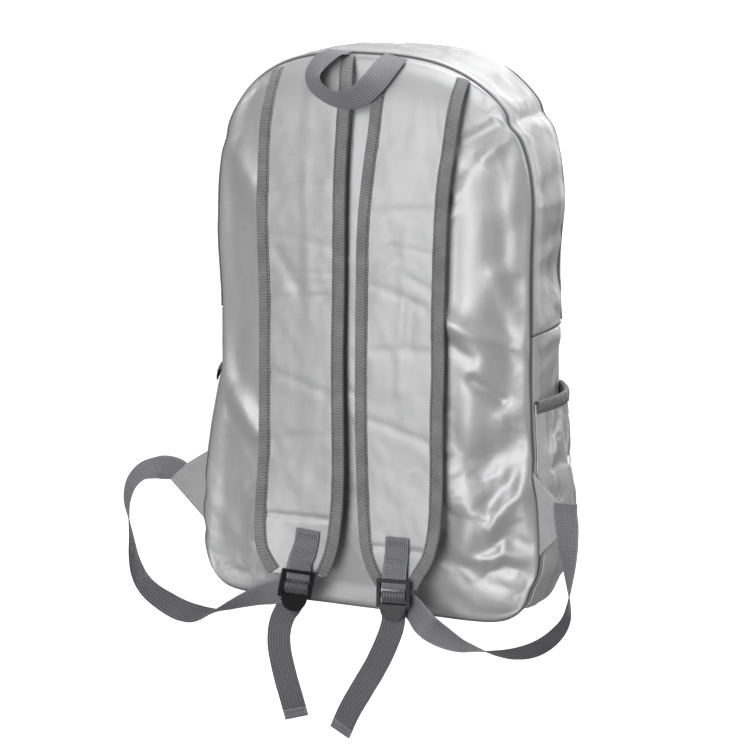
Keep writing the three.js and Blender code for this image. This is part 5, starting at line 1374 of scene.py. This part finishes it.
def addAnchor(side, v):
    low, high, back, front = v["sewingBar"]
    off = v["thick"] / 2 + bag["clear"] + 0.2
    under, radius, fore, rear = (low + high) / 2, (high - low) / 2 + off + 0.3, front + off, back - off
    reach = v["anchorReach"]
    lifted = rear + v["thick"] + bag["clear"] * 2
    path = [(reach, 0, 1), (reach * 0.75, 0, 1), (reach * 0.56, lifted, 0.6), (20.5, lifted, 0),
            (15.5, fore - 1.2, 0),
            (12, fore, 0), (8, fore, 0), (under, fore, 0)]
    for i in range(1, 6):
        angle = math.pi * i / 6
        path.append((under - radius * math.sin(angle), (fore + rear) / 2 + (fore - rear) / 2 * math.cos(angle),
                     0))
    path += [(under, rear, 0), (9, rear, 0), (14, rear - 0.3, 0), (18.5, rear - 0.8, 0)]
    rise = strapValues["thick"] / 2 + bag["clear"] * 3 + strapValues["tape"] + v["thick"] / 2
    m = buckleAxes(side)
    across = np.array(m.to_3x3() @ Vector((1, 0, 0)))
    places, wides = [], []
    for up, out, seat in path:
        place = inFrame(m, 0, up, out)
        onPad, padAcross = padSeat(side, place, rise)
        places.append(place * (1 - seat) + onPad * seat)
        wides.append(unit(across * (1 - seat) + padAcross * seat))
    line, wide = curveThrough(places, 6), curveThrough(wides, 6)
    line, wide, normal, length = ribbon("buckleWebbing" + side.capitalize(), line, wide, v["width"], v["thick"],
                                        "webbing", "webbing", "buckle_anchor_" + side, ribFace="none")
    face = 1 if normal[3][1] < 0 else -1
    stitches = []
    rows, half, up = v["patchRows"], v["patchHalf"], v["thick"] / 2 + 0.1
    for at in rows:
        k = int(np.searchsorted(length, at))
        q = np.linspace(-half, half, 12)[:, None] * v["width"]
        row = line[k] + wide[k] * q + normal[k] * face * up
        stitches += lineStitches(row, normal[k] * face, v["patchStitch"])
    ks = np.unique([int(np.searchsorted(length, at)) for at in np.linspace(rows[0], rows[-1], 10)])
    for q in (-half, half):
        row = line[ks] + wide[ks] * q * v["width"] + normal[ks] * face * up
        stitches += lineStitches(row, normal[ks] * face, v["patchStitch"])
    stitchMesh("patchStitches" + side.capitalize(), stitches, 0.5, "darkThread", "webbing")


def addCarryLoop(v):
    places = [(a * v["spread"], -o * v["out"], -d * v["hang"]) for a, d, o, *w in carryRows]
    across = [w for a, d, o, *w in carryRows]
    ribbon("carryingLoop", curveThrough(places, 9), curveThrough(unit(np.array(across, float)), 9),
           webbingValues["width"],
           webbingValues["thick"], "loopWebbing", "webbing", "carry_loop", ribFace="both")


for side in ("left", "right"):
    addTab(side, tabValues)
    addWebbing(side, webbingValues)
    addAnchor(side, webbingValues)
addCarryLoop(carryValues)
print("stage: webbing")

# pale floor and backdrop, plain soft light
studioValues = {
    "floorHeight": -2.4, "radius": 5.0, "cove": 1.4, "wall": 8.0, "white": (0.93, 0.93, 0.93), "world": 0.27,
    "glow": 0.98,
    "lights": [  # name, place, width, height, power
        ("keyLight", (-0.2, -2.5, 0.05), 1.0, 2.4, 66.0),
        ("sideLight", (2.4, 0.7, 0.5), 1.0, 1.2, 20.0),
        ("topLight", (0.3, 0.3, 1.8), 1.2, 1.2, 54.0),
        ("backLight", (0.3, 2.6, 0.6), 1.6, 1.8, 40.0),
    ],
    "aim": (0.0, 0.0, -0.22),
}


def addStage(v):
    h, r, c = v["floorHeight"], v["radius"], v["cove"]
    profile = [(0.01, h), (r - c, h)]
    profile += [(r - c + c * math.sin(q), h + c * (1 - math.cos(q))) for q in np.linspace(0.1, math.pi / 2, 14)]
    profile.append((r, h + v["wall"]))
    turns = np.linspace(0, 2 * math.pi, 65)[:-1]
    verts = [(d * math.cos(q), d * math.sin(q), z) for d, z in profile for q in turns]
    n = len(turns)
    faces = [(i * n + j, i * n + (j + 1) % n, (i + 1) * n + (j + 1) % n, (i + 1) * n + j)
             for i in range(len(profile) - 1) for j in range(n)]
    mesh = bpy.data.meshes.new("studioSweep")
    mesh.from_pydata(verts, [], faces)
    mesh.polygons.foreach_set("use_smooth", [True] * len(faces))
    obj = newObject("studioSweep", mesh)
    material, tree, shader = shaderTree("studioWhite")
    feed(tree, shader, {"Base Color": (*v["white"], 1), "Roughness": 0.9, "Emission Color": (1, 1, 1, 1),
                        "Emission Strength": v["glow"]})
    mesh.materials.append(material)
    # the sweep leaves the light on the cloth alone
    obj.visible_diffuse = obj.visible_glossy = obj.visible_shadow = False
    world = bpy.data.worlds.new("softRoom")
    world.use_nodes = True
    world.node_tree.nodes["Background"].inputs[0].default_value = (1, 1, 1, 1)
    world.node_tree.nodes["Background"].inputs[1].default_value = v["world"]
    bpy.context.scene.world = world
    for name, place, wide, tall, power in v["lights"]:
        data = bpy.data.lights.new(name, "AREA")
        data.shape, data.size, data.size_y, data.energy = "RECTANGLE", wide, tall, power
        lamp = bpy.data.objects.new(name, data)
        lamp.location = place
        lamp.rotation_euler = (Vector(v["aim"]) - Vector(place)).to_track_quat("-Z", "Y").to_euler()
        bpy.context.scene.collection.objects.link(lamp)


addStage(studioValues)
bpy.context.scene.view_settings.view_transform = "Standard"
bpy.context.scene.view_settings.look = "None"
print("stage: studio")
